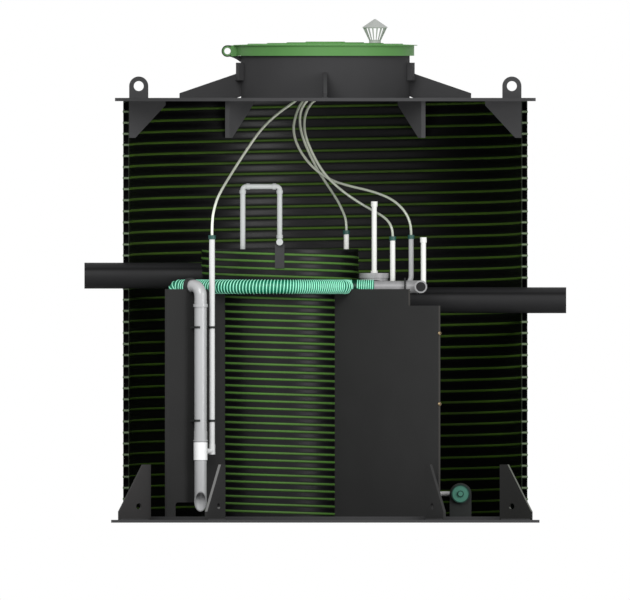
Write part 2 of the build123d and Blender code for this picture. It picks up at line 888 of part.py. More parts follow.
# Siphon: a tall bow of pipe with a socket beside each elbow, whose spout reaches over the inner
# tank's front rim and ends in a cap
siphon_sockets = (
    ((siphon_left_x, siphon_y, siphon_top - siphon_bend), (0, 0, -1)),
    ((siphon_left_x + siphon_bend, siphon_y, siphon_top), (1, 0, 0)),
    ((siphon_right_x - siphon_bend, siphon_y, siphon_top), (-1, 0, 0)),
    ((siphon_right_x, siphon_y, siphon_top - siphon_bend), (0, 0, -1)),
    ((siphon_right_x, siphon_y, siphon_spout_height + siphon_bend), (0, 0, 1)),
)
with BuildPart() as siphon_pipe:
    with BuildLine() as siphon_path:
        FilletPolyline(
            (siphon_left_x, siphon_y, siphon_foot),
            (siphon_left_x, siphon_y, siphon_top),
            (siphon_right_x, siphon_y, siphon_top),
            (siphon_right_x, siphon_y, siphon_spout_height),
            (siphon_right_x, siphon_spout_y, siphon_spout_height),
            radius=siphon_bend,
        )
    with BuildSketch(siphon_path.line ^ 0):
        Circle(siphon_radius)
        Circle(siphon_radius - siphon_wall, mode=Mode.SUBTRACT)
    sweep(path=siphon_path.line)
    for socket_start, socket_direction in siphon_sockets:
        with BuildSketch(Plane(origin=socket_start, z_dir=socket_direction)):
            Circle(siphon_socket_radius)
            Circle(siphon_radius - siphon_wall / 2, mode=Mode.SUBTRACT)
        extrude(amount=siphon_socket_length)
    with BuildSketch(Plane.XZ.offset(-siphon_spout_y)):
        with Locations((siphon_right_x, siphon_spout_height)):
            Circle(siphon_cap_radius)
    extrude(amount=siphon_cap_thickness)
save(siphon_pipe.part, "siphon_pipe")

# Plate on the inner tank's front that carries the siphon's spout
with BuildPart() as siphon_bracket:
    bracket_top = siphon_spout_height - siphon_radius - seat_gap
    with BuildSketch(Plane.XZ.offset(inner_tank_radius + seat_gap)):
        with Locations((siphon_right_x, siphon_bracket_bottom)):
            Rectangle(
                siphon_bracket_width,
                bracket_top - siphon_bracket_bottom,
                align=(Align.CENTER, Align.MIN),
            )
    extrude(amount=siphon_bracket_thickness)
save(siphon_bracket.part, "siphon_bracket")

# Shelf on the inner tank that carries the filter pot and the fittings
shelf_top = hose_height - shelf_drop
with BuildPart() as fitting_shelf:
    with BuildSketch(Plane.XY.offset(shelf_top - shelf_thickness)):
        with Locations((shelf_left, shelf_front)):
            Rectangle(
                shelf_right - shelf_left,
                shelf_back - shelf_front,
                align=(Align.MIN, Align.MIN),
            )
        with Locations((inner_tank_x, 0)):
            Circle(inner_tank_radius + seat_gap, mode=Mode.SUBTRACT)
    extrude(amount=shelf_thickness)
    with BuildSketch(Plane.YZ.offset(shelf_right - saddle_width)):
        with Locations((fitting_y, shelf_top)):
            Rectangle(
                2 * saddle_width,
                shelf_drop - fitting_pipe_radius / 2,
                align=(Align.CENTER, Align.MIN),
            )
        with Locations((fitting_y, hose_height)):
            Circle(fitting_pipe_radius + seat_gap, mode=Mode.SUBTRACT)
    extrude(amount=saddle_width)
save(fitting_shelf.part, "fitting_shelf")

# Filter pot with its wider cap
with BuildPart() as filter_pot:
    with BuildSketch(Plane.XY.offset(shelf_top)):
        with Locations((pot_x, pot_y)):
            Circle(pot_radius)
    extrude(amount=pot_height)
    with BuildSketch(Plane.YZ.offset(pot_x - pot_cap_radius)):
        with Locations((fitting_y, hose_height)):
            Circle(hose_radius + seat_gap)
    extrude(amount=2 * pot_cap_radius, mode=Mode.SUBTRACT)
    with BuildSketch(Plane.XY.offset(shelf_top + pot_height)):
        with Locations((pot_x, pot_y)):
            Circle(pot_cap_radius)
    extrude(amount=pot_cap_height)
save(filter_pot.part, "filter_pot")

# Pipe from the hose to the tee
with BuildPart() as skimmer_pipe:
    with BuildSketch(Plane.YZ.offset(hose_start[0])):
        with Locations((fitting_y, hose_height)):
            Circle(fitting_pipe_radius)
            Circle(fitting_pipe_radius - fitting_pipe_wall, mode=Mode.SUBTRACT)
    extrude(amount=tee_start - hose_start[0])
save(skimmer_pipe.part, "skimmer_pipe")

# Rubber gasket round the pipe, against the tee
with BuildPart() as tee_gasket:
    with BuildSketch(Plane.YZ.offset(tee_start - gasket_length)):
        with Locations((fitting_y, hose_height)):
            Circle(gasket_radius)
            Circle(fitting_pipe_radius + seat_gap, mode=Mode.SUBTRACT)
    extrude(amount=gasket_length)
save(tee_gasket.part, "tee_gasket")

# Tee with a round end, whose branch faces the front and is closed by a plug
tee_mouth = fitting_y - tee_branch_reach
with BuildPart() as tee:
    with BuildSketch(Plane.YZ.offset(tee_start)):
        with Locations((fitting_y, hose_height)):
            Circle(tee_radius)
    extrude(amount=tee_branch_x - tee_start)
    with Locations((tee_branch_x, fitting_y, hose_height)):
        Sphere(tee_radius)
    with BuildSketch(Plane.XZ.offset(-fitting_y)):
        with Locations((tee_branch_x, hose_height)):
            Circle(tee_radius)
    extrude(amount=tee_branch_reach)
    with BuildSketch(Plane.XZ.offset(-tee_mouth)):
        with Locations((tee_branch_x, hose_height)):
            Circle(tee_plug_radius + seat_gap)
    extrude(amount=-tee_plug_length, mode=Mode.SUBTRACT)
save(tee.part, "tee")

# Plug in the tee's branch
with BuildPart() as tee_plug:
    with BuildSketch(Plane.XZ.offset(-tee_mouth)):
        with Locations((tee_branch_x, hose_height)):
            Circle(tee_plug_radius)
    extrude(amount=-tee_plug_length)
save(tee_plug.part, "tee_plug")

# Upright air pipes: on the filter pot, on the fittings and inside the inner tank
pot_top = shelf_top + pot_height + pot_cap_height
risers = (
    (pot_x, pot_y, pot_top, pot_riser_top),
    (skimmer_riser_x, skimmer_riser_y, shelf_top, skimmer_riser_top),
    (capped_riser_x, fitting_y, hose_height, capped_riser_top),
    (inner_riser_x, inner_riser_y, floor_top, inner_riser_top),
)
with BuildPart() as air_risers:
    for riser_x, riser_y, riser_foot, riser_top in risers:
        with BuildSketch(Plane.XY.offset(riser_foot)):
            with Locations((riser_x, riser_y)):
                Circle(riser_radius)
        extrude(amount=riser_top - riser_foot)
    for riser_x, riser_y, riser_foot, riser_top in (risers[0], risers[2]):
        with BuildSketch(Plane.XY.offset(riser_top - riser_cap_height)):
            with Locations((riser_x, riser_y)):
                Circle(riser_cap_radius)
        extrude(amount=riser_cap_height)
    with BuildSketch(Plane.XY.offset(pot_top)):
        with Locations((pot_x, pot_y)):
            Circle(pot_socket_radius)
    extrude(amount=pot_socket_height)
    with BuildSketch(Plane.YZ.offset(hose_start[0])):
        with Locations((fitting_y, hose_height)):
            Circle(tee_radius + seat_gap)
    extrude(amount=tee_branch_x - hose_start[0], mode=Mode.SUBTRACT)
    with Locations((tee_branch_x, fitting_y, hose_height)):
        Sphere(tee_radius + seat_gap, mode=Mode.SUBTRACT)
    with BuildSketch(Plane.XZ.offset(-fitting_y)):
        with Locations((tee_branch_x, hose_height)):
            Circle(tee_radius + seat_gap)
    extrude(amount=tee_branch_reach, mode=Mode.SUBTRACT)
save(air_risers.part, "air_risers")

# Air line that runs down to the diffuser
diffuser_side = diffuser_x - diffuser_radius - seat_gap
with BuildPart() as diffuser_air_line:
    with BuildLine() as diffuser_path:
        FilletPolyline(
            (diffuser_line_x, diffuser_line_y, diffuser_line_top),
            (diffuser_line_x, diffuser_line_y, diffuser_jog_top),
            (diffuser_line_lower_x, diffuser_line_y, diffuser_jog_bottom),
            (diffuser_line_lower_x, diffuser_line_y, diffuser_height),
            (diffuser_side, diffuser_line_y, diffuser_height),
            radius=diffuser_line_bend,
        )
    with BuildSketch(diffuser_path.line ^ 0):
        Circle(diffuser_line_radius)
    sweep(path=diffuser_path.line)
save(diffuser_air_line.part, "diffuser_air_line")

# Tubular diffuser with a rimmed cap and a boss at each end
with BuildPart() as diffuser:
    with BuildSketch(Plane.XZ):
        with Locations((diffuser_x, diffuser_height)):
            Circle(diffuser_radius)
    extrude(amount=diffuser_half_length, both=True)
    for side in (-1, 1):
        with BuildSketch(Plane.XZ.offset(side * diffuser_half_length)):
            with Locations((diffuser_x, diffuser_height)):
                Circle(diffuser_cap_radius)
        extrude(amount=side * diffuser_cap_thickness)
        with BuildSketch(Plane.XZ.offset(side * (diffuser_half_length + diffuser_cap_thickness))):
            with Locations((diffuser_x, diffuser_height)):
                Circle(diffuser_cap_radius - diffuser_rim_width)
                Circle(diffuser_boss_radius, mode=Mode.SUBTRACT)
        extrude(amount=-side * diffuser_rim_depth, mode=Mode.SUBTRACT)
        with BuildSketch(Plane.XZ.offset(side * (diffuser_half_length + diffuser_cap_thickness))):
            with Locations((diffuser_x, diffuser_height)):
                Circle(diffuser_boss_radius)
        extrude(amount=side * diffuser_boss_length)
save(diffuser.part, "diffuser")

# Brackets that hold the diffuser above the floor
bracket_place = diffuser_half_length - diffuser_bracket_inset
with BuildPart() as diffuser_brackets:
    for side in (-1, 1):
        with BuildSketch(Plane.XZ.offset(side * bracket_place)):
            with Locations((diffuser_x, floor_top)):
                Rectangle(
                    diffuser_bracket_width,
                    diffuser_height - floor_top,
                    align=(Align.CENTER, Align.MIN),
                )
            with Locations((diffuser_x, diffuser_height)):
                Circle(diffuser_bracket_width / 2)
                Circle(diffuser_radius + seat_gap, mode=Mode.SUBTRACT)
        extrude(amount=-side * diffuser_bracket_thickness)
save(diffuser_brackets.part, "diffuser_brackets")

# Sleeves that join the air hoses to the tops of their pipes
sleeve_seats = (
    (line_top.X, line_top.Y, air_line_top, air_line_radius),
    (diffuser_line_x, diffuser_line_y, diffuser_line_top, diffuser_line_radius),
    (inner_riser_x, inner_riser_y, inner_riser_top, riser_radius),
    (skimmer_riser_x, skimmer_riser_y, skimmer_riser_top, riser_radius),
)
sleeve_tops = []
with BuildPart() as hose_sleeves:
    for seat_x, seat_y, pipe_top, held_radius in sleeve_seats:
        with BuildSketch(Plane.XY.offset(pipe_top - sleeve_overlap)):
            with Locations((seat_x, seat_y)):
                Circle(held_radius + sleeve_wall)
                Circle(held_radius + seat_gap, mode=Mode.SUBTRACT)
        extrude(amount=sleeve_overlap)
        with BuildSketch(Plane.XY.offset(pipe_top)):
            with Locations((seat_x, seat_y)):
                Circle(held_radius + sleeve_wall)
        extrude(amount=sleeve_height - sleeve_overlap)
        sleeve_tops.append(pipe_top + sleeve_height - sleeve_overlap)
save(hose_sleeves.part, "hose_sleeves")

# Air manifold on the neck's inner face, with a nozzle for each hose
with BuildPart() as air_manifold:
    with BuildSketch(Plane.YZ.offset(manifold_x - manifold_length / 2)):
        with Locations((manifold_y, manifold_height)):
            Circle(manifold_radius)
    extrude(amount=manifold_length)
    with BuildSketch(Plane.XY.offset(nozzle_end)):
        with Locations([(place, manifold_y) for place in nozzle_places]):
            Circle(nozzle_radius)
    extrude(amount=manifold_height - nozzle_end)
    with BuildSketch(Plane.XY.offset(manifold_height - manifold_arm_thickness / 2)):
        with Locations([(place, manifold_y) for place in manifold_arm_places]):
            Rectangle(
                2 * manifold_arm_thickness,
                neck_outer_radius - manifold_y,
                align=(Align.CENTER, Align.MIN),
            )
        Circle(neck_inner_radius - seat_gap, mode=Mode.INTERSECT)
    extrude(amount=manifold_arm_thickness)
save(air_manifold.part, "air_manifold")

# Air hoses from the manifold, down through the manhole to the sleeves
hose_routes = {
    "air_hose_1": [
        (nozzle_places[0], manifold_y, nozzle_end),
        (nozzle_places[0], manifold_y, 1866),
        (-104, 276, 1827),
        (-112, 242, 1800),
        (-130, 196, 1780),
        (-192, 128, 1739),
        (-269, 30, 1670),
        (-342, -75, 1564),
        (-408, -180, 1459),
        (-452, -268, 1385),
        (-470, -335, 1330),
        (line_top.X, line_top.Y, 1277),
        (line_top.X, line_top.Y, sleeve_tops[0]),
    ],
    "air_hose_2": [
        (nozzle_places[1], manifold_y, nozzle_end),
        (nozzle_places[1], manifold_y, 1872),
        (-70, 281, 1830),
        (-88, 264, 1794),
        (-110, 236, 1762),
        (-126, 204, 1722),
        (-137, 166, 1668),
        (-125, 128, 1610),
        (-93, 82, 1549),
        (-40, 32, 1490),
        (28, -20, 1446),
        (106, -66, 1423),
        (203, -110, 1401),
        (285, -142, 1368),
        (338, -166, 1318),
        (diffuser_line_x, diffuser_line_y, 1260),
        (diffuser_line_x, diffuser_line_y, sleeve_tops[1]),
    ],
    "air_hose_3": [
        (nozzle_places[2], manifold_y, nozzle_end),
        (nozzle_places[2], manifold_y, 1870),
        (-34, 287, 1829),
        (-61, 280, 1797),
        (-88, 270, 1766),
        (-106, 252, 1724),
        (-106, 216, 1660),
        (-76, 165, 1578),
        (-32, 105, 1490),
        (12, 50, 1424),
        (55, -2, 1358),
        (82, -44, 1300),
        (inner_riser_x, inner_riser_y, 1268),
        (inner_riser_x, inner_riser_y, sleeve_tops[2]),
    ],
    "air_hose_4": [
        (nozzle_places[3], manifold_y, nozzle_end),
        (nozzle_places[3], manifold_y, 1864),
        (3, 275, 1824),
        (-28, 248, 1797),
        (-64, 204, 1772),
        (-89, 152, 1720),
        (-89, 85, 1646),
        (-54, 20, 1558),
        (-6, -40, 1476),
        (58, -78, 1413),
        (128, -100, 1363),
        (196, -120, 1323),
        (248, -157, 1294),
        (274, -180, 1266),
        (skimmer_riser_x, skimmer_riser_y, 1233),
        (skimmer_riser_x, skimmer_riser_y, sleeve_tops[3]),
    ],
}


def bend_radii(route):
    """Radius of each corner: as large as its two runs allow."""
    corners = [Vector(*point) for point in route]
    radii = []
    for before, corner, after in zip(corners, corners[1:], corners[2:]):
        turn = (corner - before).get_angle(after - corner)
        shorter_run = min((corner - before).length, (after - corner).length)
        radii.append(0.45 * shorter_run / tan(radians(turn / 2)))
    return radii


for hose_name, route in hose_routes.items():
    radii = bend_radii(route)
    with BuildPart() as air_hose:
        with BuildLine() as route_line:
            FilletPolyline(*route, radius=radii)
        with BuildSketch(route_line.line ^ 0):
            Circle(air_hose_radius)
        sweep(path=route_line.line)
    section = pi * air_hose_radius ** 2
    length = sum(edge.length for edge in route_line.edges())
    print(hose_name, "radii", [round(radius) for radius in radii])
    print("length", round(length), "volume over section", round(air_hose.part.volume / section))
    save(air_hose.part, hose_name)
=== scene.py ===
# %% [markdown]
# A packaged sewage treatment plant, cut open
#
# The real plant is a round tank wound from a hollow black plastic profile. The front half of its
# wall is cut away, so the inner tank, the partitions, the pipes and the air hoses can be seen. The
# CAD model already has every solid shape in its true place. This script loads it as a fixed frame,
# gives each part its finish, and adds what CAD leaves out: the welded seams of the winding, the
# open cells at the cut, the ribbed spiral of the teal hose, the soft air hoses, the weld fillets
# of the plates, a rubber buffer and two screws.

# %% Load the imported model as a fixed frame
import bpy
import math
import numpy as np
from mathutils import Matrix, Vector


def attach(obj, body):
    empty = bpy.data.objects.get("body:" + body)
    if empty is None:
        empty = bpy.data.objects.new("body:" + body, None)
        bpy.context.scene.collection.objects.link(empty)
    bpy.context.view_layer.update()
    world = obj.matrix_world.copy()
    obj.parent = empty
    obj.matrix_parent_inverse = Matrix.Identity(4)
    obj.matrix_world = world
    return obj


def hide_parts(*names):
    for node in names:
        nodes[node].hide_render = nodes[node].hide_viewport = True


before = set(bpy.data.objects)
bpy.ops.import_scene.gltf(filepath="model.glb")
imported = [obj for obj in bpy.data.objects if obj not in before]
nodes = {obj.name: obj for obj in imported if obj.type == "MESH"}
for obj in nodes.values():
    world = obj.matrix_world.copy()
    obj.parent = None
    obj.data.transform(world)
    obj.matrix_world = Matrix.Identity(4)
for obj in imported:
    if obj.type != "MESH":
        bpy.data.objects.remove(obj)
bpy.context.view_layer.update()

# %% [markdown]
# The camera
#
# The picture of the real plant has no perspective: both ends of the base plate stay level and the
# top plate is seen exactly from its edge. An orthographic camera square on to the front gives the
# same view. One pixel of the picture is 4.23 mm, so 630 pixels are 2.665 m wide.

# %% Camera square on to the front
picture_width = 2.6649
picture_middle_x, picture_middle_z = -0.0436, 0.942
camera_distance = 6.0
camera_data = bpy.data.cameras.new("camera")
camera_data.type = "ORTHO"
camera_data.ortho_scale = picture_width
camera_data.clip_end = 10 * camera_distance
camera = bpy.data.objects.new("camera", camera_data)
camera.location = (picture_middle_x, -camera_distance, picture_middle_z)
camera.rotation_euler = (math.pi / 2, 0, 0)
bpy.context.scene.collection.objects.link(camera)
bpy.context.scene.camera = camera

# %% [markdown]
# Colours
#
# Colours are read off the real plant as 0 to 255 values, as a paint chart gives them, and Blender
# wants them linear. Converting once, in a helper, keeps the numbers in the file easy to judge.


# %% Convert a screen colour to a linear one
def linear(red, green, blue):
    """Linear colour: c / 12.92 for a dark channel, and ((c + 0.055) / 1.055) ^ 2.4 above."""
    channels = np.array([red, green, blue]) / 255
    light = ((channels + 0.055) / 1.055) ** 2.4
    return (*np.where(channels <= 0.04045, channels / 12.92, light).tolist(), 1.0)


# %% [markdown]
# Small helpers for shader trees
#
# A finish is a tree of nodes. Four helpers keep the recipes short: one adds a node and feeds its
# sockets, one does a sum, one mixes two colours or numbers, and one turns a range of values into
# another. Each takes plain values and the outputs of other nodes alike.


# %% Nodes, sums, mixes and ramps
def feed(tree, socket, value):
    """Links another node's output to the socket, or writes a plain value on it."""
    if isinstance(value, bpy.types.NodeSocket):
        tree.links.new(value, socket)
    else:
        socket.default_value = value


def add_node(tree, kind, **values):
    """Adds a shader node, feeds its sockets and sets its settings by name."""
    node = tree.nodes.new(kind)
    for key, value in values.items():
        if key in node.inputs:
            feed(tree, node.inputs[key], value)
        else:
            setattr(node, key, value)
    return node


def calculate(tree, operation, *values):
    """The result of a math node over the values."""
    node = add_node(tree, "ShaderNodeMath", operation=operation)
    for socket, value in zip(node.inputs, values):
        feed(tree, socket, value)
    return node.outputs[0]


def mixed(tree, amount, start, end, data_type="RGBA"):
    """From start to end, two colours or two numbers, as the amount goes from 0 to 1."""
    first_socket, result = {"FLOAT": (2, 0), "RGBA": (6, 2)}[data_type]
    node = add_node(tree, "ShaderNodeMix", data_type=data_type)
    feed(tree, node.inputs[0], amount)
    feed(tree, node.inputs[first_socket], start)
    feed(tree, node.inputs[first_socket + 1], end)
    return node.outputs[result]


def ramp(tree, value, start, end, low=0.0, high=1.0, curve="LINEAR"):
    """From low to high as the value goes from start to end, and clamped beyond."""
    node = add_node(tree, "ShaderNodeMapRange", Value=value, interpolation_type=curve)
    for key, number in (("From Min", start), ("From Max", end), ("To Min", low), ("To Max", high)):
        node.inputs[key].default_value = number
    return node.outputs["Result"]


# %% [markdown]
# One recipe for the plain plastics
#
# Welded plate, moulded fittings and extruded pipe are never one flat colour: handling and moulding
# leave cloudy patches, a fine grain and a slightly uneven gloss. Two noise textures on object
# coordinates do this without any picture. The cloud changes colour and roughness together, as a
# scuffed patch is both paler and duller, and the grain only tips the surface.

# %% Recipe for a plain plastic or metal
patch_size = 0.12
grain_depth, grain_width = 0.0006, 0.004
shade_spread, gloss_spread = 0.15, 0.2
bump_strength = 0.5


def new_finish(name, roughness, metallic=0.0, coat=0.0, specular=0.5):
    """A material, the tree that feeds it and its Principled shader."""
    material = bpy.data.materials.new(name)
    material.use_nodes = True
    tree = material.node_tree
    shader = tree.nodes["Principled BSDF"]
    shader.inputs["Roughness"].default_value = roughness
    shader.inputs["Metallic"].default_value = metallic
    shader.inputs["Coat Weight"].default_value = coat
    shader.inputs["Specular IOR Level"].default_value = specular
    return material, tree, shader


def shades(colour, spread):
    """A darker and a lighter shade of a colour, the same step to either side of it."""
    dark = tuple(channel * (1 - spread) for channel in colour[:3]) + (1.0,)
    light = tuple(channel * (1 + spread) for channel in colour[:3]) + (1.0,)
    return dark, light


def cloud_and_grain(tree, shader, place, dark, light, cloud_size, roughness, grain, grain_size):
    """Tips the shader's normal with a fine noise, and returns a cloudy colour and roughness."""
    cloud = add_node(tree, "ShaderNodeTexNoise", Vector=place, Scale=1 / cloud_size, Detail=5.0)
    fine = add_node(tree, "ShaderNodeTexNoise", Vector=place, Scale=1 / grain_size, Detail=2.0)
    bump = add_node(tree, "ShaderNodeBump", Height=fine.outputs["Fac"], Strength=bump_strength,
                    Distance=grain)
    tree.links.new(bump.outputs["Normal"], shader.inputs["Normal"])
    cloudiness = cloud.outputs["Fac"]
    dullness = ramp(tree, cloudiness, 0, 1, roughness * (1 - gloss_spread),
                    min(1.0, roughness * (1 + gloss_spread)))
    return mixed(tree, cloudiness, dark, light), dullness


def two_tone(name, dark, light, roughness, cloud_size=patch_size, grain=grain_depth,
             grain_size=grain_width, metallic=0.0, coat=0.0, specular=0.5):
    """Cloudy, grained finish that drifts between two colours."""
    material, tree, shader = new_finish(name, roughness, metallic, coat, specular)
    place = add_node(tree, "ShaderNodeTexCoord").outputs["Object"]
    shade, dullness = cloud_and_grain(tree, shader, place, dark, light, cloud_size, roughness,
                                      grain, grain_size)
    tree.links.new(shade, shader.inputs["Base Color"])
    tree.links.new(dullness, shader.inputs["Roughness"])
    return material


def plain_plastic(name, colour, roughness, spread=shade_spread, **settings):
    """Cloudy, grained finish whose mean colour is the given one."""
    return two_tone(name, *shades(colour, spread), roughness, **settings)


# %% Finishes of the plates, the lid and the cowl
structural_plastic = plain_plastic("structural_plastic", linear(58, 58, 59), 0.75, specular=0.15)
lug_plastic = plain_plastic("lug_plastic", linear(66, 66, 67), 0.75, specular=0.15)
gusset_plastic = plain_plastic("gusset_plastic", linear(45, 45, 45), 0.75, specular=0.15)
partition_plastic = plain_plastic("partition_plastic", linear(45, 45, 45), 0.75, specular=0.15)
edge_highlight_plastic = plain_plastic("edge_highlight_plastic", linear(45, 45, 45), 0.75, specular=0.15)
pin_green = plain_plastic("pin_green", linear(80, 126, 68), 0.4, spread=0.08, specular=0.3)
lid_green = plain_plastic("lid_green", linear(88, 138, 76), 0.5, spread=0.08, specular=0.15)
cowl_white = plain_plastic("cowl_white", linear(172, 175, 171), 0.4, spread=0.03, specular=0.3)

# %% Finishes of the pipes, the fittings and the hoses
black_pipe = plain_plastic("black_pipe", linear(32, 32, 33), 0.55, grain=0.0002, specular=0.15)
grey_pipe = plain_plastic("grey_pipe", linear(173, 174, 175), 0.25, spread=0.05, coat=0.2)
fitting_grey = plain_plastic("fitting_grey", linear(146, 146, 147), 0.4, spread=0.18,
                             cloud_size=0.02)
air_line_grey = plain_plastic("air_line_grey", linear(173, 174, 175), 0.3, spread=0.05)
collar_white = plain_plastic("collar_white", linear(246, 247, 247), 0.35, spread=0.02)
# The air risers get a paler copy of the white pipe: painted light against the shade inside the
# tank.
riser_white = plain_plastic("riser_white", linear(226, 227, 223), 0.35, spread=0.02, specular=0.4)
white_pipe = plain_plastic("white_pipe", linear(210, 211, 211), 0.35, spread=0.02, specular=0.4)
siphon_white = plain_plastic("siphon_white", linear(183, 186, 185), 0.4, spread=0.02, specular=0.3)
rubber = plain_plastic("rubber", linear(44, 45, 45), 0.7, specular=0.2)
clip_plastic = plain_plastic("clip_plastic", linear(46, 48, 47), 0.6, specular=0.2)
sleeve_teal = plain_plastic("sleeve_teal", linear(20, 72, 64), 0.4)
diffuser_rubber = plain_plastic("diffuser_rubber", linear(80, 138, 120), 0.5, spread=0.1,
                                specular=0.2)
hose_core_teal = plain_plastic("hose_core_teal", linear(0, 104, 76), 0.45, specular=0.3)
hose_rib_teal = plain_plastic("hose_rib_teal", linear(160, 244, 212), 0.35, spread=0.05)
air_hose_cream = plain_plastic("air_hose_cream", linear(168, 174, 160), 0.25, spread=0.04,
                               coat=0.5)
zinc = plain_plastic("zinc", linear(132, 116, 90), 0.35, metallic=1.0, grain=0.0001)

# %% Finishes of the seams and of the cells at the cut
seam_green = two_tone("seam_green", linear(68, 84, 46), linear(80, 122, 26), 0.5, cloud_size=0.22,
                      grain=0.0004, specular=0.2)
tank_seam_green = two_tone("tank_seam_green", linear(68, 88, 46), linear(72, 122, 44), 0.5,
                           cloud_size=0.16, grain=0.0004, specular=0.2)
cell_black = plain_plastic("cell_black", linear(12, 11, 13), 0.8, specular=0.1)
weld_green = plain_plastic("weld_green", linear(92, 107, 80), 0.5, spread=0.1, specular=0.3)
skin_green = plain_plastic("skin_green", linear(50, 66, 44), 0.6, spread=0.1, specular=0.2)

# %% [markdown]
# The wound wall's finish
#
# Each turn of the profile is a dark band. Beside the welded seam it is painted darker and made
# rougher. The dark there is painted shade, where the rounded turn curves in towards the seam. The
# pattern has to follow the winding, so it is measured along the helix: height plus the part of a
# lead that the angle has used up. The fractional part of that over the pitch is nought at a seam
# and a half between two seams.

# %% Finish that follows a helical winding
# The green-black beside the seams is painted shade on the rounded turns; band_black is the
# plastic's own colour.
band_black, painted_seam_shade = linear(9, 8, 10), linear(3, 10, 2)
seam_reach, band_reach = 0.06, 0.40
seam_roughness = 0.75


def wound_plastic(name, axis_x, seam_height, pitch, roughness, specular):
    """Bands between helical seams: their phase is frac((z - seam) / pitch + angle / pi)."""
    material, tree, shader = new_finish(name, roughness, specular=specular)
    place = add_node(tree, "ShaderNodeTexCoord").outputs["Object"]
    centred = add_node(tree, "ShaderNodeMapping", Vector=place,
                       Location=(-axis_x, 0, -seam_height))
    parts = add_node(tree, "ShaderNodeSeparateXYZ", Vector=centred.outputs["Vector"])
    angle = calculate(tree, "ARCTAN2", parts.outputs["Y"], parts.outputs["X"])
    climb = calculate(tree, "MULTIPLY_ADD", angle, pitch / math.pi, parts.outputs["Z"])
    from_seam = calculate(tree, "PINGPONG", calculate(tree, "DIVIDE", climb, pitch), 0.5)
    on_band = ramp(tree, from_seam, seam_reach, band_reach, curve="SMOOTHSTEP")
    shade, dullness = cloud_and_grain(tree, shader, place, *shades(band_black, shade_spread),
                                      patch_size, roughness, grain_depth, grain_width)
    tree.links.new(mixed(tree, on_band, painted_seam_shade, shade), shader.inputs["Base Color"])
    tree.links.new(mixed(tree, on_band, seam_roughness, dullness, "FLOAT"),
                   shader.inputs["Roughness"])
    return material


wall_pitch, tank_pitch = 0.0468, 0.0312
wall_seam_height, tank_seam_height = 1.73854, 1.1514
inner_tank_x = -0.192
wall_plastic = wound_plastic("wall_plastic", 0, wall_seam_height, wall_pitch,
                             roughness=0.33, specular=0.23)
tank_plastic = wound_plastic("tank_plastic", inner_tank_x, tank_seam_height, tank_pitch,
                             roughness=0.34, specular=0.20)

# %% [markdown]
# Parts with more than one colour
#
# A tint is blended over a finish by an amount between 0 and 1, and the amount is a ramp of what
# tells the places apart. Most tints below are painted light and shade. For a painted highlight on
# an edge it is the dot product of the normal with the way that the edge faces. For a hose painted
# paler where it lies in shade, or a painted dark reflection along a pipe, it is a coordinate. For
# the painted shade on the rim of an eye it is the distance from the eye's axis: the length of the
# point's offset, with the part along the axis flattened to nought. Multiplying two ramps gives a
# band or a ring that ends on both sides.


# %% Tints by place, by facing and round an axis
def blend_tint(material, amount, tint):
    """Blends what feeds the base colour towards the tint by the amount."""
    tree = material.node_tree
    base_colour = tree.nodes["Principled BSDF"].inputs["Base Color"]
    plain = base_colour.links[0].from_socket
    tree.links.new(mixed(tree, amount, plain, tint), base_colour)


def coordinate(tree, axis):
    """X, Y or Z of the point, in the frame of the whole plant."""
    place = add_node(tree, "ShaderNodeTexCoord").outputs["Object"]
    return add_node(tree, "ShaderNodeSeparateXYZ", Vector=place).outputs[axis]


def place_tint(material, axis, start, end, tint):
    """The tint comes in as a coordinate goes from start to end."""
    tree = material.node_tree
    blend_tint(material, ramp(tree, coordinate(tree, axis), start, end), tint)


def band_tint(material, axis, low, high, soft, tint):
    """The tint between two values of a coordinate, faded over the soft distance at both."""
    tree = material.node_tree
    value = coordinate(tree, axis)
    amount = calculate(tree, "MULTIPLY", ramp(tree, value, low, low + soft),
                       ramp(tree, value, high, high - soft))
    blend_tint(material, amount, tint)


def facing_tint(material, way, low, high, tint):
    """The tint comes in as normal . way goes from low to high."""
    tree = material.node_tree
    facing = add_node(tree, "ShaderNodeVectorMath", operation="DOT_PRODUCT")
    feed(tree, facing.inputs[0], add_node(tree, "ShaderNodeTexCoord").outputs["Normal"])
    feed(tree, facing.inputs[1], way)
    blend_tint(material, ramp(tree, facing.outputs["Value"], low, high), tint)


def dark_rim(material, axis_x, axis_z, inner, outer, limit, rim, along_x=False):
    """Rim colour beyond inner..outer of the axis and up to limit, a distance or an x offset."""
    tree = material.node_tree
    place = add_node(tree, "ShaderNodeTexCoord").outputs["Object"]
    offset = add_node(tree, "ShaderNodeMapping", Vector=place, Location=(-axis_x, 0, -axis_z),
                      Scale=(1, 0, 1)).outputs["Vector"]
    length = add_node(tree, "ShaderNodeVectorMath", operation="LENGTH")
    feed(tree, length.inputs[0], offset)
    distance = length.outputs["Value"]
    measure = distance
    if along_x:
        measure = add_node(tree, "ShaderNodeSeparateXYZ", Vector=offset).outputs["X"]
    amount = calculate(tree, "MULTIPLY", ramp(tree, distance, inner, outer),
                       ramp(tree, measure, limit + outer - inner, limit))
    blend_tint(material, amount, rim)


# %% Base stiffeners: painted light at the left, painted shade at the right, painted highlights on slopes
left_slope, right_slope = (-0.43, -0.75, 0.5), (0.75, -0.43, 0.5)
# Painted light on the stiffeners at the left end, and painted shade on those at the right end.
place_tint(gusset_plastic, "X", -0.6, -0.8, linear(55, 54, 54))
place_tint(gusset_plastic, "X", 0.6, 0.8, linear(37, 37, 36))
# Painted highlights on the sloped edges of the front-left and front-right stiffeners, where the
# lamps glint.
facing_tint(gusset_plastic, left_slope, 0.93, 0.98, linear(112, 112, 111))
facing_tint(gusset_plastic, right_slope, 0.93, 0.98, linear(98, 100, 94))
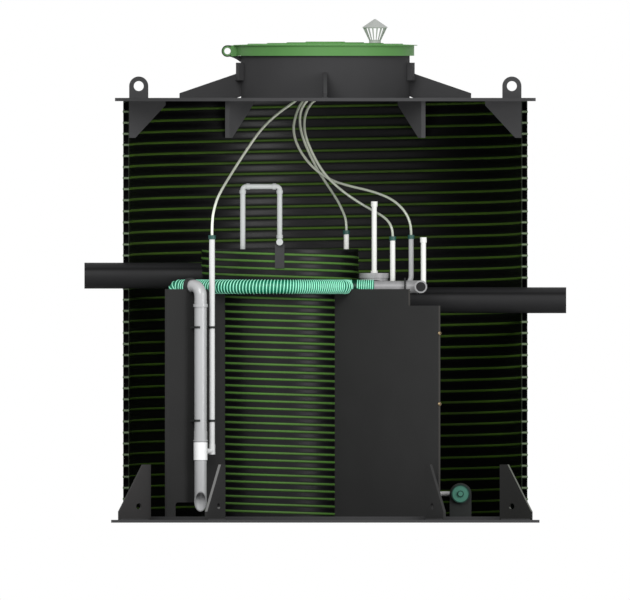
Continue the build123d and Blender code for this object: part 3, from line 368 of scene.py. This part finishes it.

# %% Painted light on the partition's free edge and the lid's top, a painted reflection along big pipes
diagonal = math.sqrt(0.5)
partition_way = (diagonal, -diagonal, 0)
# Painted highlight on the free edge of the right partition.
facing_tint(edge_highlight_plastic, partition_way, 0.97, 0.99, linear(56, 55, 53))
# Painted light: the lid's upward faces get a stronger green than its sides.
facing_tint(lid_green, (0, 0, 1), 0.6, 0.9, linear(66, 150, 46))
inlet_height, outlet_height = 1.045, 0.941
band_low, band_high, band_soft = 0.018, 0.038, 0.008
# Painted reflection: a dark band along each big pipe, a little above its middle.
for pipe_height in (inlet_height, outlet_height):
    band_tint(black_pipe, "Z", pipe_height + band_low, pipe_height + band_high, band_soft,
              linear(11, 11, 12))

# %% Painted shade round the hinge eyes, and rings on the diffuser's cap round its edge and its boss
hinge_x, hinge_z = -0.414, 1.995
diffuser_x, diffuser_z = 0.572, 0.122
# Painted shade: a dark rim round the edge of each hinge eye, except on its right.
dark_rim(lid_green, hinge_x, hinge_z, 0.0198, 0.0212, 0.014, linear(30, 44, 28), along_x=True)
dark_rim(diffuser_rubber, diffuser_x, diffuser_z, 0.0335, 0.0345, 0.2, linear(30, 62, 54))
dark_rim(diffuser_rubber, diffuser_x, diffuser_z, 0.0095, 0.0105, 0.0135, linear(28, 66, 56))

# %% Painted light: air hoses paler upward and to the front, and a painted white foot on an air line
# Painted light on the air hoses, paler high up and to the front, to offset the shade of the top
# plate.
place_tint(air_hose_cream, "Z", 1.40, 1.60, linear(240, 243, 226))
place_tint(air_hose_cream, "Y", -0.20, -0.32, linear(246, 250, 236))
# Painted light: the air line's foot is painted white to offset the shadow it lies in.
place_tint(air_line_grey, "Z", 0.30, 0.20, linear(250, 250, 250))

# %% Put the finishes on the CAD nodes
nodes_of_finish = (
    (structural_plastic, "base_plate tank_floor top_plate top_gussets neck neck_braces neck_pads "
                         "hinge_bracket siphon_bracket fitting_shelf"),
    (gusset_plastic, "base_gussets"), (lug_plastic, "lifting_lugs"),
    (wall_plastic, "wall_segment_1 wall_segment_2 wall_segment_3 wall_segment_4"),
    (tank_plastic, "inner_tank"),
    (partition_plastic, "partition_left"), (edge_highlight_plastic, "partition_right"),
    (pin_green, "hinge_pin"), (lid_green, "lid"), (cowl_white, "vent_cowl"),
    (black_pipe, "inlet_pipe outlet_pipe tee_plug"),
    (grey_pipe, "airlift_pipe airlift_elbow"), (fitting_grey, "skimmer_pipe tee filter_pot"),
    (air_line_grey, "diffuser_air_line"), (collar_white, "airlift_collar"),
    (riser_white, "air_risers"), (white_pipe, "airlift_air_line"), (siphon_white, "siphon_pipe"),
    (rubber, "airlift_grommet tee_gasket"),
    (clip_plastic, "pipe_clips diffuser_brackets air_manifold"),
    (hose_core_teal, "transfer_hose"), (sleeve_teal, "hose_sleeves"),
    (diffuser_rubber, "diffuser"),
)
finish_of_node = {name: finish for finish, names in nodes_of_finish for name in names.split()}
for node_name, finish in finish_of_node.items():
    mesh = nodes[node_name].data
    mesh.materials.clear()
    mesh.materials.append(finish)
print(len(finish_of_node), "nodes have a finish")

# %% [markdown]
# The four air hoses
#
# Soft hoses of 11 mm bring air from the manifold in the neck down to the pipes. They are cut to
# length, start straight down out of their nozzles and hang in open curves. A NURBS spline whose
# control points are the route's points gives that relaxed line, and a round bevel gives the tube.

# %% Routes of the air hoses, in millimetres
millimetre = 0.001
hose_radius = 0.0055
line_x, line_y = -479.092, -373.352
hose_routes = {
    "air_hose_1": (1.093, [
        (-100, 290, 1915), (-100, 290, 1866), (-104, 276, 1827), (-112, 242, 1800),
        (-130, 196, 1780), (-192, 128, 1739), (-269, 30, 1670), (-342, -75, 1564),
        (-408, -180, 1459), (-452, -268, 1385), (-470, -335, 1330), (line_x, line_y, 1277),
        (line_x, line_y, 1216)]),
    "air_hose_2": (1.118, [
        (-60, 290, 1915), (-60, 290, 1872), (-70, 281, 1830), (-88, 264, 1794),
        (-110, 236, 1762), (-126, 204, 1722), (-137, 166, 1668), (-125, 128, 1610),
        (-93, 82, 1549), (-40, 32, 1490), (28, -20, 1446), (106, -66, 1423),
        (203, -110, 1401), (285, -142, 1368), (338, -166, 1318), (363, -180, 1260),
        (363, -180, 1217)]),
    "air_hose_3": (0.844, [
        (-20, 290, 1915), (-20, 290, 1870), (-35, 287, 1829), (-66, 280, 1797),
        (-94, 270, 1766), (-109, 252, 1724), (-106, 216, 1660), (-76, 165, 1578),
        (-32, 105, 1490), (12, 50, 1424), (55, -2, 1358), (82, -44, 1300),
        (89, -60, 1268), (89, -60, 1237)]),
    "air_hose_4": (1.047, [
        (20, 290, 1915), (20, 290, 1864), (3, 275, 1824), (-28, 248, 1797),
        (-64, 204, 1772), (-89, 152, 1720), (-89, 85, 1646), (-54, 20, 1558),
        (-6, -40, 1476), (58, -78, 1413), (128, -100, 1363), (196, -120, 1323),
        (248, -157, 1294), (274, -180, 1266), (285, -190, 1233), (285, -190, 1211)]),
}


# %% Air hoses as relaxed splines with a round section
def spline_curve(name, route):
    """A NURBS curve of order 3 whose control points are the route's points, through both ends."""
    curve = bpy.data.curves.new(name, "CURVE")
    curve.dimensions = "3D"
    spline = curve.splines.new("NURBS")
    spline.points.add(len(route) - 1)
    places = np.ones((len(route), 4))
    places[:, :3] = np.array(route) * millimetre
    spline.points.foreach_set("co", places.ravel())
    spline.order_u = 3
    spline.use_endpoint_u = True
    spline.resolution_u = 12
    return curve


for hose_name, (hose_length, route) in hose_routes.items():
    curve = spline_curve(hose_name + "_tube", route)
    curve.bevel_depth = hose_radius
    curve.bevel_resolution = 6
    curve.materials.append(air_hose_cream)
    tube = bpy.data.objects.new(hose_name + "_tube", curve)
    bpy.context.scene.collection.objects.link(tube)
    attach(tube, "root")
    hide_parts(hose_name)
print(len(hose_routes), "air hoses")

# %% [markdown]
# From arrays to meshes
#
# Every new piece below is a surface over a grid of two parameters, worked out by numpy as one array
# of points. The faces of such a grid only depend on how many rows and columns it has and on which
# way round it closes, so one helper makes them, and another puts points and faces into a mesh.


# %% Faces of a grid, and a mesh from arrays
def grid_faces(rows, columns, close_columns=False):
    """Quads between neighbours: corner (i, j), (i, j+1), (i+1, j+1), (i+1, j) as point numbers."""
    across = columns if close_columns else columns - 1
    i, j = np.meshgrid(np.arange(rows - 1), np.arange(across), indexing="ij")
    following = (j + 1) % columns
    corners = (i * columns + j, i * columns + following,
               (i + 1) * columns + following, (i + 1) * columns + j)
    return np.stack([corner.ravel() for corner in corners], axis=1)


def repeated(faces, points_each, count):
    """The same faces for each of count copies, every copy's point numbers moved on."""
    return (faces[None] + points_each * np.arange(count)[:, None, None]).reshape(-1, 4)


def add_piece(name, points, faces, finish, smooth=True):
    """A mesh object at the origin that rides with the tank."""
    mesh = bpy.data.meshes.new(name)
    mesh.from_pydata(points.reshape(-1, 3).tolist(), [], faces.tolist())
    mesh.validate()
    mesh.polygons.foreach_set("use_smooth", np.full(len(mesh.polygons), smooth))
    mesh.materials.append(finish)
    piece = bpy.data.objects.new(name, mesh)
    bpy.context.scene.collection.objects.link(piece)
    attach(piece, "root")
    print(name, len(mesh.vertices), "points", len(mesh.polygons), "faces")
    return piece


# %% [markdown]
# Green seams of the winding
#
# The wall is wound from a hollow strip, two strips at a time, and a green weld joins neighbouring
# turns. So a seam is a helix that climbs two pitches in a turn. On the half tank each seam crosses
# from one cut face to the other and falls by one pitch, and on the inner tank two strands wind
# through all the turns. The weld is a low rounded bead: a small arched profile, carried along the
# helix. Its two ends are closed by drawing the profile in.

# %% Helical beads
bead_columns = 5
bead_sunk = 0.001


def bead_profile(width, rise):
    """Arch from edge to edge: across = -w/2 cos(t), out = rise sin(t), with t from 0 to pi."""
    t = np.linspace(0, math.pi, bead_columns)
    return -width / 2 * np.cos(t), rise * np.sin(t)


def helical_beads(axis_x, radius, side, seam_heights, start, end, pitch, width, rise, rows):
    """Beads on a round wall: at angle a a bead lies at its seam height - pitch * a / pi."""
    across, out = bead_profile(width, rise)
    progress = np.linspace(0, 1, rows)
    angle = start[:, None] + (end - start)[:, None] * progress[None]
    drawn_in = np.where((progress == 0) | (progress == 1), 0.0, 1.0)
    reach = radius + side * (out[None, None] * drawn_in[None, :, None] - bead_sunk)
    height = (seam_heights[:, None] - pitch * angle / math.pi)[..., None] + across[None, None]
    turn = angle[..., None]
    points = np.stack([axis_x + reach * np.cos(turn), reach * np.sin(turn), height + 0 * reach],
                      axis=-1)
    faces = repeated(grid_faces(rows, bead_columns), rows * bead_columns, len(seam_heights))
    if side > 0:
        faces = faces[:, ::-1]
    return points, faces


# %% Seams on the inside and the outside of the half wall
wall_outer, wall_inner = 0.855, 0.830
wall_foot, wall_head = 0.026, 1.783
wall_bead_width, wall_bead_rise = 0.0110, 0.004
wall_bead_rows = 97
seam_count = 38
shortest_seam = 0.05
wall_seams = wall_seam_height + wall_pitch - wall_pitch * np.arange(seam_count)
room = wall_bead_width / 2 + millimetre
first_angle = np.clip((wall_seams - wall_head + room) / wall_pitch, 0, 1) * math.pi
last_angle = np.clip((wall_seams - wall_foot - room) / wall_pitch, 0, 1) * math.pi
kept = last_angle - first_angle > shortest_seam
for place, radius, side in (("inside", wall_inner, -1), ("outside", wall_outer, 1)):
    points, faces = helical_beads(0, radius, side, wall_seams[kept], first_angle[kept],
                                  last_angle[kept], wall_pitch, wall_bead_width, wall_bead_rise,
                                  wall_bead_rows)
    add_piece(f"wall_seams_{place}", points, faces, seam_green)

# %% Seams round the inner tank
tank_radius, tank_head = 0.332, 1.157
tank_bead_width, tank_bead_rise = 0.0105, 0.0035
tank_turns, rows_in_turn = 18, 72
strands = tank_seam_height + tank_pitch * np.arange(2, dtype=float)
top_angle = (strands - (tank_head - room)) / tank_pitch * math.pi
low_angle = (strands - (wall_foot + room)) / tank_pitch * math.pi
points, faces = helical_beads(inner_tank_x, tank_radius, 1, strands, top_angle, low_angle,
                              tank_pitch, tank_bead_width, tank_bead_rise,
                              tank_turns * rows_in_turn)
add_piece("tank_seams", points, faces, tank_seam_green)

# %% [markdown]
# The cut through the wall
#
# Cut open, the strip shows its cells: rounded black hollows one above the other, with a thin skin
# each side and a green weld between. CAD has the hollows as plain pockets. Each small piece here is
# a stack of loops, every loop a rounded rectangle at its own depth behind the cut face, and the
# faces run from loop to loop. One stack is worked out and then moved to each cell in one sum.

# %% Stacks of rounded loops on the cut face
wall_middle = (wall_outer + wall_inner) / 2
cell_total = 37
first_cell = wall_head - 0.45 * wall_pitch
cell_places = first_cell - wall_pitch * np.arange(cell_total)
weld_places = cell_places[:-1] - wall_pitch / 2
loop_points = 24


def rounded_loop(half_width, half_height, corner, count):
    """Rounded rectangle: the sharp one drawn in by the corner radius, plus a circle of it."""
    t = (np.arange(count) + 0.5) / count * 2 * math.pi
    x = np.sign(np.cos(t)) * (half_width - corner) + corner * np.cos(t)
    y = np.sign(np.sin(t)) * (half_height - corner) + corner * np.sin(t)
    return x, y


def loop_stacks(loops, side, heights):
    """One stack of (half width, half height, corner, depth) loops at each height of a cut."""
    rows = []
    for half_width, half_height, corner, depth in np.array(loops) * millimetre:
        x, z = rounded_loop(half_width, half_height, corner, loop_points)
        rows.append(np.stack([side * (wall_middle + x), np.full(loop_points, depth), z], axis=-1))
    one = np.stack(rows)
    places = np.stack([0 * heights, 0 * heights, heights], axis=-1)
    faces = repeated(grid_faces(len(loops), loop_points, close_columns=True),
                     len(loops) * loop_points, len(heights))
    return one[None] + places[:, None, None], faces[:, ::side]


# %% Skins round the cells, their black inside and the welds between them, in millimetres
skin = [(12.2, 19.6, 4, 0.2), (12.2, 19.6, 4, -1.0), (11.4, 18.4, 5, -1.0), (11.4, 18.4, 5, -0.4)]
hollow = [(11.5, 18.5, 5, -0.8), (8.2, 18.2, 5, -0.6), (8.2, 18.2, 5, 1.0), (7, 17, 4, 38),
          (0.1, 0.1, 0.1, 38)]
weld = [(0.1, 0.1, 0.1, -1.3), (11, 2.2, 2, -1.3), (12, 3.2, 2, -0.9), (12, 3.2, 2, 0.3)]
for cut, side in (("right", 1), ("left", -1)):
    for name, loops, heights, finish in (("cell_skins", skin, cell_places, skin_green),
                                         ("cell_hollows", hollow, cell_places, cell_black),
                                         ("weld_ends", weld, weld_places, weld_green)):
        points, faces = loop_stacks(loops, side, heights)
        add_piece(f"{name}_{cut}", points, faces, finish, smooth=False)

# %% [markdown]
# The teal transfer hose
#
# It is a suction hose: a soft dark wall with a stiff pale spiral wound into it. The line it follows
# is laid out once, as straight runs and an arc, and smoothed with a moving average, which rounds
# its corners. The wall is a plain tube round the line, and the spiral is a small arch carried along
# a helix round it. The hose is stretched where it runs round the inner tank, so its spiral is wider
# there: the angle is the running sum of one step over the local pitch. Just behind the right bend
# the hose lies in shade and its spiral doesn't show, so it is left out for a short length, and the
# wall there carries a painted shadow.

# %% Line of the transfer hose
hose_z = 0.998
hose_step, bend_smoothing = 0.0004, 0.045
ring_radius, ring_points = 0.4045, 60
ring_angles = np.radians(np.linspace(-60, -135, ring_points))
ring = np.stack([inner_tank_x + ring_radius * np.cos(ring_angles),
                 ring_radius * np.sin(ring_angles), np.full(ring_points, hose_z)], axis=1)
right_run = np.array([(0.206, -0.239, hose_z), (0.088, -0.239, hose_z),
                      (0.088, -0.3054, hose_z)])
left_drop = np.array([(-0.5897, -0.1743, hose_z), (-0.636, -0.150, hose_z),
                      (-0.636, -0.150, 0.700)])


def even_line(corners, step, smoothing):
    """Points every step along the corners' runs, each then the mean of its neighbours."""
    runs = np.linalg.norm(np.diff(corners, axis=0), axis=1)
    along = np.concatenate([[0], np.cumsum(runs)])
    places = np.arange(0, along[-1], step)
    line = np.stack([np.interp(places, along, corners[:, axis]) for axis in range(3)], axis=1)
    half = int(smoothing / step / 2)
    before = line[0] + (line[0] - line[1]) * np.arange(half, 0, -1)[:, None]
    after = line[-1] + (line[-1] - line[-2]) * np.arange(1, half + 1)[:, None]
    padded = np.concatenate([before, line, after])
    total = np.concatenate([np.zeros((1, 3)), np.cumsum(padded, axis=0)])
    window = 2 * half + 1
    return (total[window:] - total[:-window]) / window


def frame_along(line, reference):
    """Tangent, its cross product with a reference, and the third direction square to both."""
    tangent = np.gradient(line, axis=0)
    tangent /= np.linalg.norm(tangent, axis=1, keepdims=True)
    first = np.cross(tangent, reference)
    first /= np.linalg.norm(first, axis=1, keepdims=True)
    return tangent, first, np.cross(first, tangent)


hose_line = even_line(np.concatenate([right_run, ring, left_drop]), hose_step, bend_smoothing)
tangent, first, second = frame_along(hose_line, np.array((0.0, 1.0, 0.0)))
print("transfer hose", round(len(hose_line) * hose_step, 3), "m")

# %% Wall of the transfer hose, with a ring at every tenth point of the line
core_radius, core_thickness = 0.0285, 0.003
core_points, core_stride = 40, 10
around = np.linspace(0, 2 * math.pi, core_points, endpoint=False)
rows = slice(None, None, core_stride)
ring_out = (np.cos(around)[None, :, None] * first[rows][:, None]
            + np.sin(around)[None, :, None] * second[rows][:, None])
outer = hose_line[rows][:, None] + core_radius * ring_out
inner = hose_line[rows][:, None] + (core_radius - core_thickness) * ring_out
points = np.concatenate([inner[:1], outer, inner[-1:], inner[::-1]])
faces = grid_faces(len(points), len(around), close_columns=True)
core = add_piece("transfer_hose_wall", points, faces, hose_core_teal)
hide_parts("transfer_hose")

# %% Spiral of the transfer hose, the bare length behind its right bend, and a painted shadow there
rib_radius, rib_sunk = 0.0288, 0.0008
rib_width, rib_rise = 0.0048, 0.0027
close_pitch, wide_pitch = 0.0092, 0.0139
stretch_start, stretch_run = -0.11, 0.07
bare_low, bare_high, bare_soft = 0.114, 0.135, 0.003
bare_behind = -0.27
stretched = np.clip((stretch_start - hose_line[:, 0]) / stretch_run, 0, 1)
rib_pitch = close_pitch + (wide_pitch - close_pitch) * stretched
turn = 2 * math.pi * hose_step * np.cumsum(1 / rib_pitch)
outward = np.cos(turn)[:, None] * first + np.sin(turn)[:, None] * second
across, out = bead_profile(rib_width, rib_rise)
points = (hose_line[:, None] + across[None, :, None] * tangent[:, None]
          + (rib_radius - rib_sunk + out)[None, :, None] * outward[:, None])
bare = ((hose_line[:, 0] > bare_low) & (hose_line[:, 0] < bare_high)
        & (hose_line[:, 1] > bare_behind))
faces = grid_faces(len(hose_line), bead_columns)[~np.repeat(bare[:-1], bead_columns - 1)]
rib = add_piece("transfer_hose_spiral", points, faces, hose_rib_teal)
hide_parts("transfer_hose")
# Painted shadow on the hose wall along the bare length.
band_tint(hose_core_teal, "X", bare_low, bare_high, bare_soft, linear(0, 50, 36))

# %% [markdown]
# Weld fillets of the plates
#
# The plates are welded by hand extruder, which lays a rounded string of plastic along each corner.
# Every fillet is a straight corner line with one direction along each of the two plates: the
# surface is a quarter circle between them, and the string swells and narrows a little on its way.

# %% Fillets along corner lines
fillet_rows, fillet_columns = 60, 8
swelling, swell_run, swell_drift = 0.08, 0.009, 0.031
fillet_overlap = 0.2
up = np.array([0.0, 0.0, 1.0])


def fillets(name, starts, ends, first_way, second_way, size):
    """Quarter-round strings: corner + size * (cos(t) * first + sin(t) * second)."""
    progress = np.linspace(0, 1, fillet_rows)
    corner = starts[:, None] + (ends - starts)[:, None] * progress[None, :, None]
    run = np.linalg.norm(ends - starts, axis=1)[:, None] * progress[None]
    swell = size * (1 + swelling * np.sin(run / swell_run * 2 * math.pi)
                    * np.cos(run / swell_drift))
    swell[:, [0, -1]] = 0.0
    t = np.linspace(-fillet_overlap, math.pi / 2 + fillet_overlap, fillet_columns)
    outward = (np.cos(t)[None, :, None] * first_way[:, None]
               + np.sin(t)[None, :, None] * second_way[:, None])
    points = corner[:, :, None] + swell[..., None, None] * outward[:, None]
    faces = repeated(grid_faces(fillet_rows, fillet_columns), fillet_rows * fillet_columns,
                     len(starts))
    backward = np.einsum("ij,ij->i", np.cross(first_way, second_way), ends - starts) < 0
    flip = np.repeat(backward, len(faces) // len(starts))
    faces[flip] = faces[flip][:, ::-1]
    add_piece(name, points, faces, structural_plastic)


def spokes(angles, inner, outer, offset, low, high):
    """Corner lines at both sides of upright plates: starts, ends, outward and sideways ways."""
    angle = np.repeat(np.radians(angles), 2)
    side = np.tile([1.0, -1.0], len(angles))
    out = np.stack([np.cos(angle), np.sin(angle), 0 * angle], axis=1)
    sideways = np.stack([-np.sin(angle), np.cos(angle), 0 * angle], axis=1) * side[:, None]
    starts = inner * out + offset * sideways + low * up
    ends = outer * out + offset * sideways + high * up
    return starts, ends, out, sideways


# %% Fillets at the neck's braces and pads, the hinge bracket and the base stiffeners
neck_radius, pad_radius = 0.357, 0.3783
plate_top, base_top = 1.797, 0.012
brace_low, brace_high = plate_top + 0.008, plate_top + 0.105
brace_start, brace_end = neck_radius + 0.018, neck_radius + 0.256
pad_foot, brace_slope_top = 1.871, 1.899
bracket_foot, bracket_head = 1.953, 1.974
gusset_start, gusset_end = 0.862, 1.003
brace_half, bracket_half, gusset_half = 0.0075, 0.015, 0.006
quarters, sides, left = (0, 90, 180, 270), (0, 180), (180,)
stiffeners = (30, 60, 120, 150, 210, 240, 300, 330)
for name, angles, inner, outer, offset, low, high, upward, size in (
        ("brace_neck_welds", quarters, neck_radius, neck_radius, brace_half, brace_low,
         brace_high, 0, 0.005),
        ("brace_plate_welds", quarters, brace_start, brace_end, brace_half, plate_top,
         plate_top, 1, 0.005),
        ("pad_side_welds", sides, pad_radius, pad_radius, brace_half, pad_foot,
         brace_slope_top, 0, 0.004),
        ("pad_foot_welds", sides, neck_radius, pad_radius, brace_half, pad_foot,
         pad_foot, -1, 0.004),
        ("bracket_welds", left, neck_radius, neck_radius, bracket_half, bracket_foot,
         bracket_head, 0, 0.004),
        ("gusset_foot_welds", stiffeners, gusset_start, gusset_end, gusset_half, base_top,
         base_top, 1, 0.005)):
    starts, ends, out, sideways = spokes(angles, inner, outer, offset, low, high)
    first_way = np.broadcast_to(upward * up, out.shape) if upward else out
    fillets(name, starts, ends, first_way, sideways, size)

# %% [markdown]
# Rubber buffer and screws
#
# The lid's skirt comes down on a rubber strip on the hinge bracket. The right partition's free end
# carries two screws, which hold it to the wall's front half in the whole plant. The strip is a
# stack of rounded loops, and a screw's head is a turned profile with a round socket in its
# middle.

# %% Buffer strip on the hinge bracket
buffer_x, buffer_low, buffer_high = -0.3705, 1.9700, 1.9747
buffer_half_width, buffer_half_length = 0.0125, 0.015
buffer_corner, buffer_bevel = 0.003, 0.001
smallest, buffer_points = 0.0001, 32
rings = []
for shrink, height in ((0.0, buffer_low), (0.0, buffer_high - buffer_bevel),
                       (buffer_bevel, buffer_high), (buffer_half_width - smallest, buffer_high)):
    x, y = rounded_loop(buffer_half_width - shrink, buffer_half_length - shrink,
                        max(smallest, buffer_corner - shrink), buffer_points)
    rings.append(np.stack([x + buffer_x, y, np.full(buffer_points, height)], axis=-1))
points = np.stack(rings)
faces = grid_faces(len(rings), buffer_points, close_columns=True)
add_piece("hinge_buffer", points, faces, rubber)

# %% Screws in the free end of the right partition
screw_points = 32
partition_end = (0.4828, -0.6748)
screw_profile = np.array([(8.5, -0.5), (8.5, 2.2), (7.6, 3.8), (5.6, 4.9), (3.4, 5.2), (3.0, 4.8),
                          (3.0, 2.4), (0.1, 2.0)]) * millimetre
screw_centres = np.array([(*partition_end, 0.801), (*partition_end, 0.502)])


def turned(name, profile, centres, axis, finish):
    """Profile of (radius, along) pairs turned about an axis, at each centre."""
    first = np.cross(axis, up)
    second = np.cross(axis, first)
    a = np.linspace(0, 2 * math.pi, screw_points, endpoint=False)
    ring = np.cos(a)[:, None] * first + np.sin(a)[:, None] * second
    one = profile[:, 0, None, None] * ring[None] + profile[:, 1, None, None] * axis
    faces = repeated(grid_faces(len(profile), screw_points, close_columns=True),
                     len(profile) * screw_points, len(centres))
    add_piece(name, centres[:, None, None] + one[None], faces, finish, smooth=False)


turned("partition_screws", screw_profile, screw_centres, np.array(partition_way), zinc)

# %% [markdown]
# Floor, backdrop and light
#
# A pale floor carries the plant in the other views. The background is white for the camera and in
# reflections, while the light that reaches the object stays plain, so colours render as written.

# %% Floor
floor_reach, floor_drop = 20, 0.0005
corners = [(-1, -1), (1, -1), (1, 1), (-1, 1)]
floor_mesh = bpy.data.meshes.new("floor")
floor_mesh.from_pydata([(floor_reach * x, floor_reach * y, 0) for x, y in corners], [],
                       [(0, 1, 2, 3)])
floor_finish, _, floor_shader = new_finish("floor", 0.8)
floor_shader.inputs["Base Color"].default_value = (0.82, 0.82, 0.82, 1)
floor_mesh.materials.append(floor_finish)
floor = bpy.data.objects.new("floor", floor_mesh)
floor.location = (0, 0, -floor_drop)
bpy.context.scene.collection.objects.link(floor)

# %% World: plain light, and white where the camera, a reflection or a glass sees it
sky_strength = 0.55
world = bpy.data.worlds.new("world")
bpy.context.scene.world = world
world.use_nodes = True
sky = world.node_tree
plain_light = sky.nodes["Background"]
plain_light.inputs["Color"].default_value = (1, 1, 1, 1)
plain_light.inputs["Strength"].default_value = sky_strength
white = add_node(sky, "ShaderNodeBackground", Color=(1, 1, 1, 1), Strength=1.0)
rays = add_node(sky, "ShaderNodeLightPath").outputs
seen = calculate(sky, "ADD", rays["Is Camera Ray"], rays["Is Glossy Ray"])
shown = add_node(sky, "ShaderNodeMath", operation="ADD", use_clamp=True)
feed(sky, shown.inputs[0], seen)
feed(sky, shown.inputs[1], rays["Is Transmission Ray"])
backdrop = add_node(sky, "ShaderNodeMixShader", Fac=shown.outputs[0])
feed(sky, backdrop.inputs[1], plain_light.outputs["Background"])
feed(sky, backdrop.inputs[2], white.outputs["Background"])
feed(sky, sky.nodes["World Output"].inputs["Surface"], backdrop.outputs["Shader"])


# %% Lamps
def area_lamp(name, place, target, size, power):
    """A square soft lamp that faces its target."""
    lamp_data = bpy.data.lights.new(name, "AREA")
    lamp_data.size = size
    lamp_data.energy = power
    lamp = bpy.data.objects.new(name, lamp_data)
    lamp.location = place
    toward = Vector(target) - Vector(place)
    lamp.rotation_mode = "QUATERNION"
    lamp.rotation_quaternion = toward.to_track_quat("-Z", "Y")
    bpy.context.scene.collection.objects.link(lamp)


plant_middle = (0, 0, 1.0)
area_lamp("key", (-1.0, -5.0, 3.4), plant_middle, size=2.5, power=165)
area_lamp("fill", (3.2, -3.6, 1.5), plant_middle, size=2.2, power=80)

# %% Set the view
bpy.context.scene.view_settings.view_transform = "Standard"
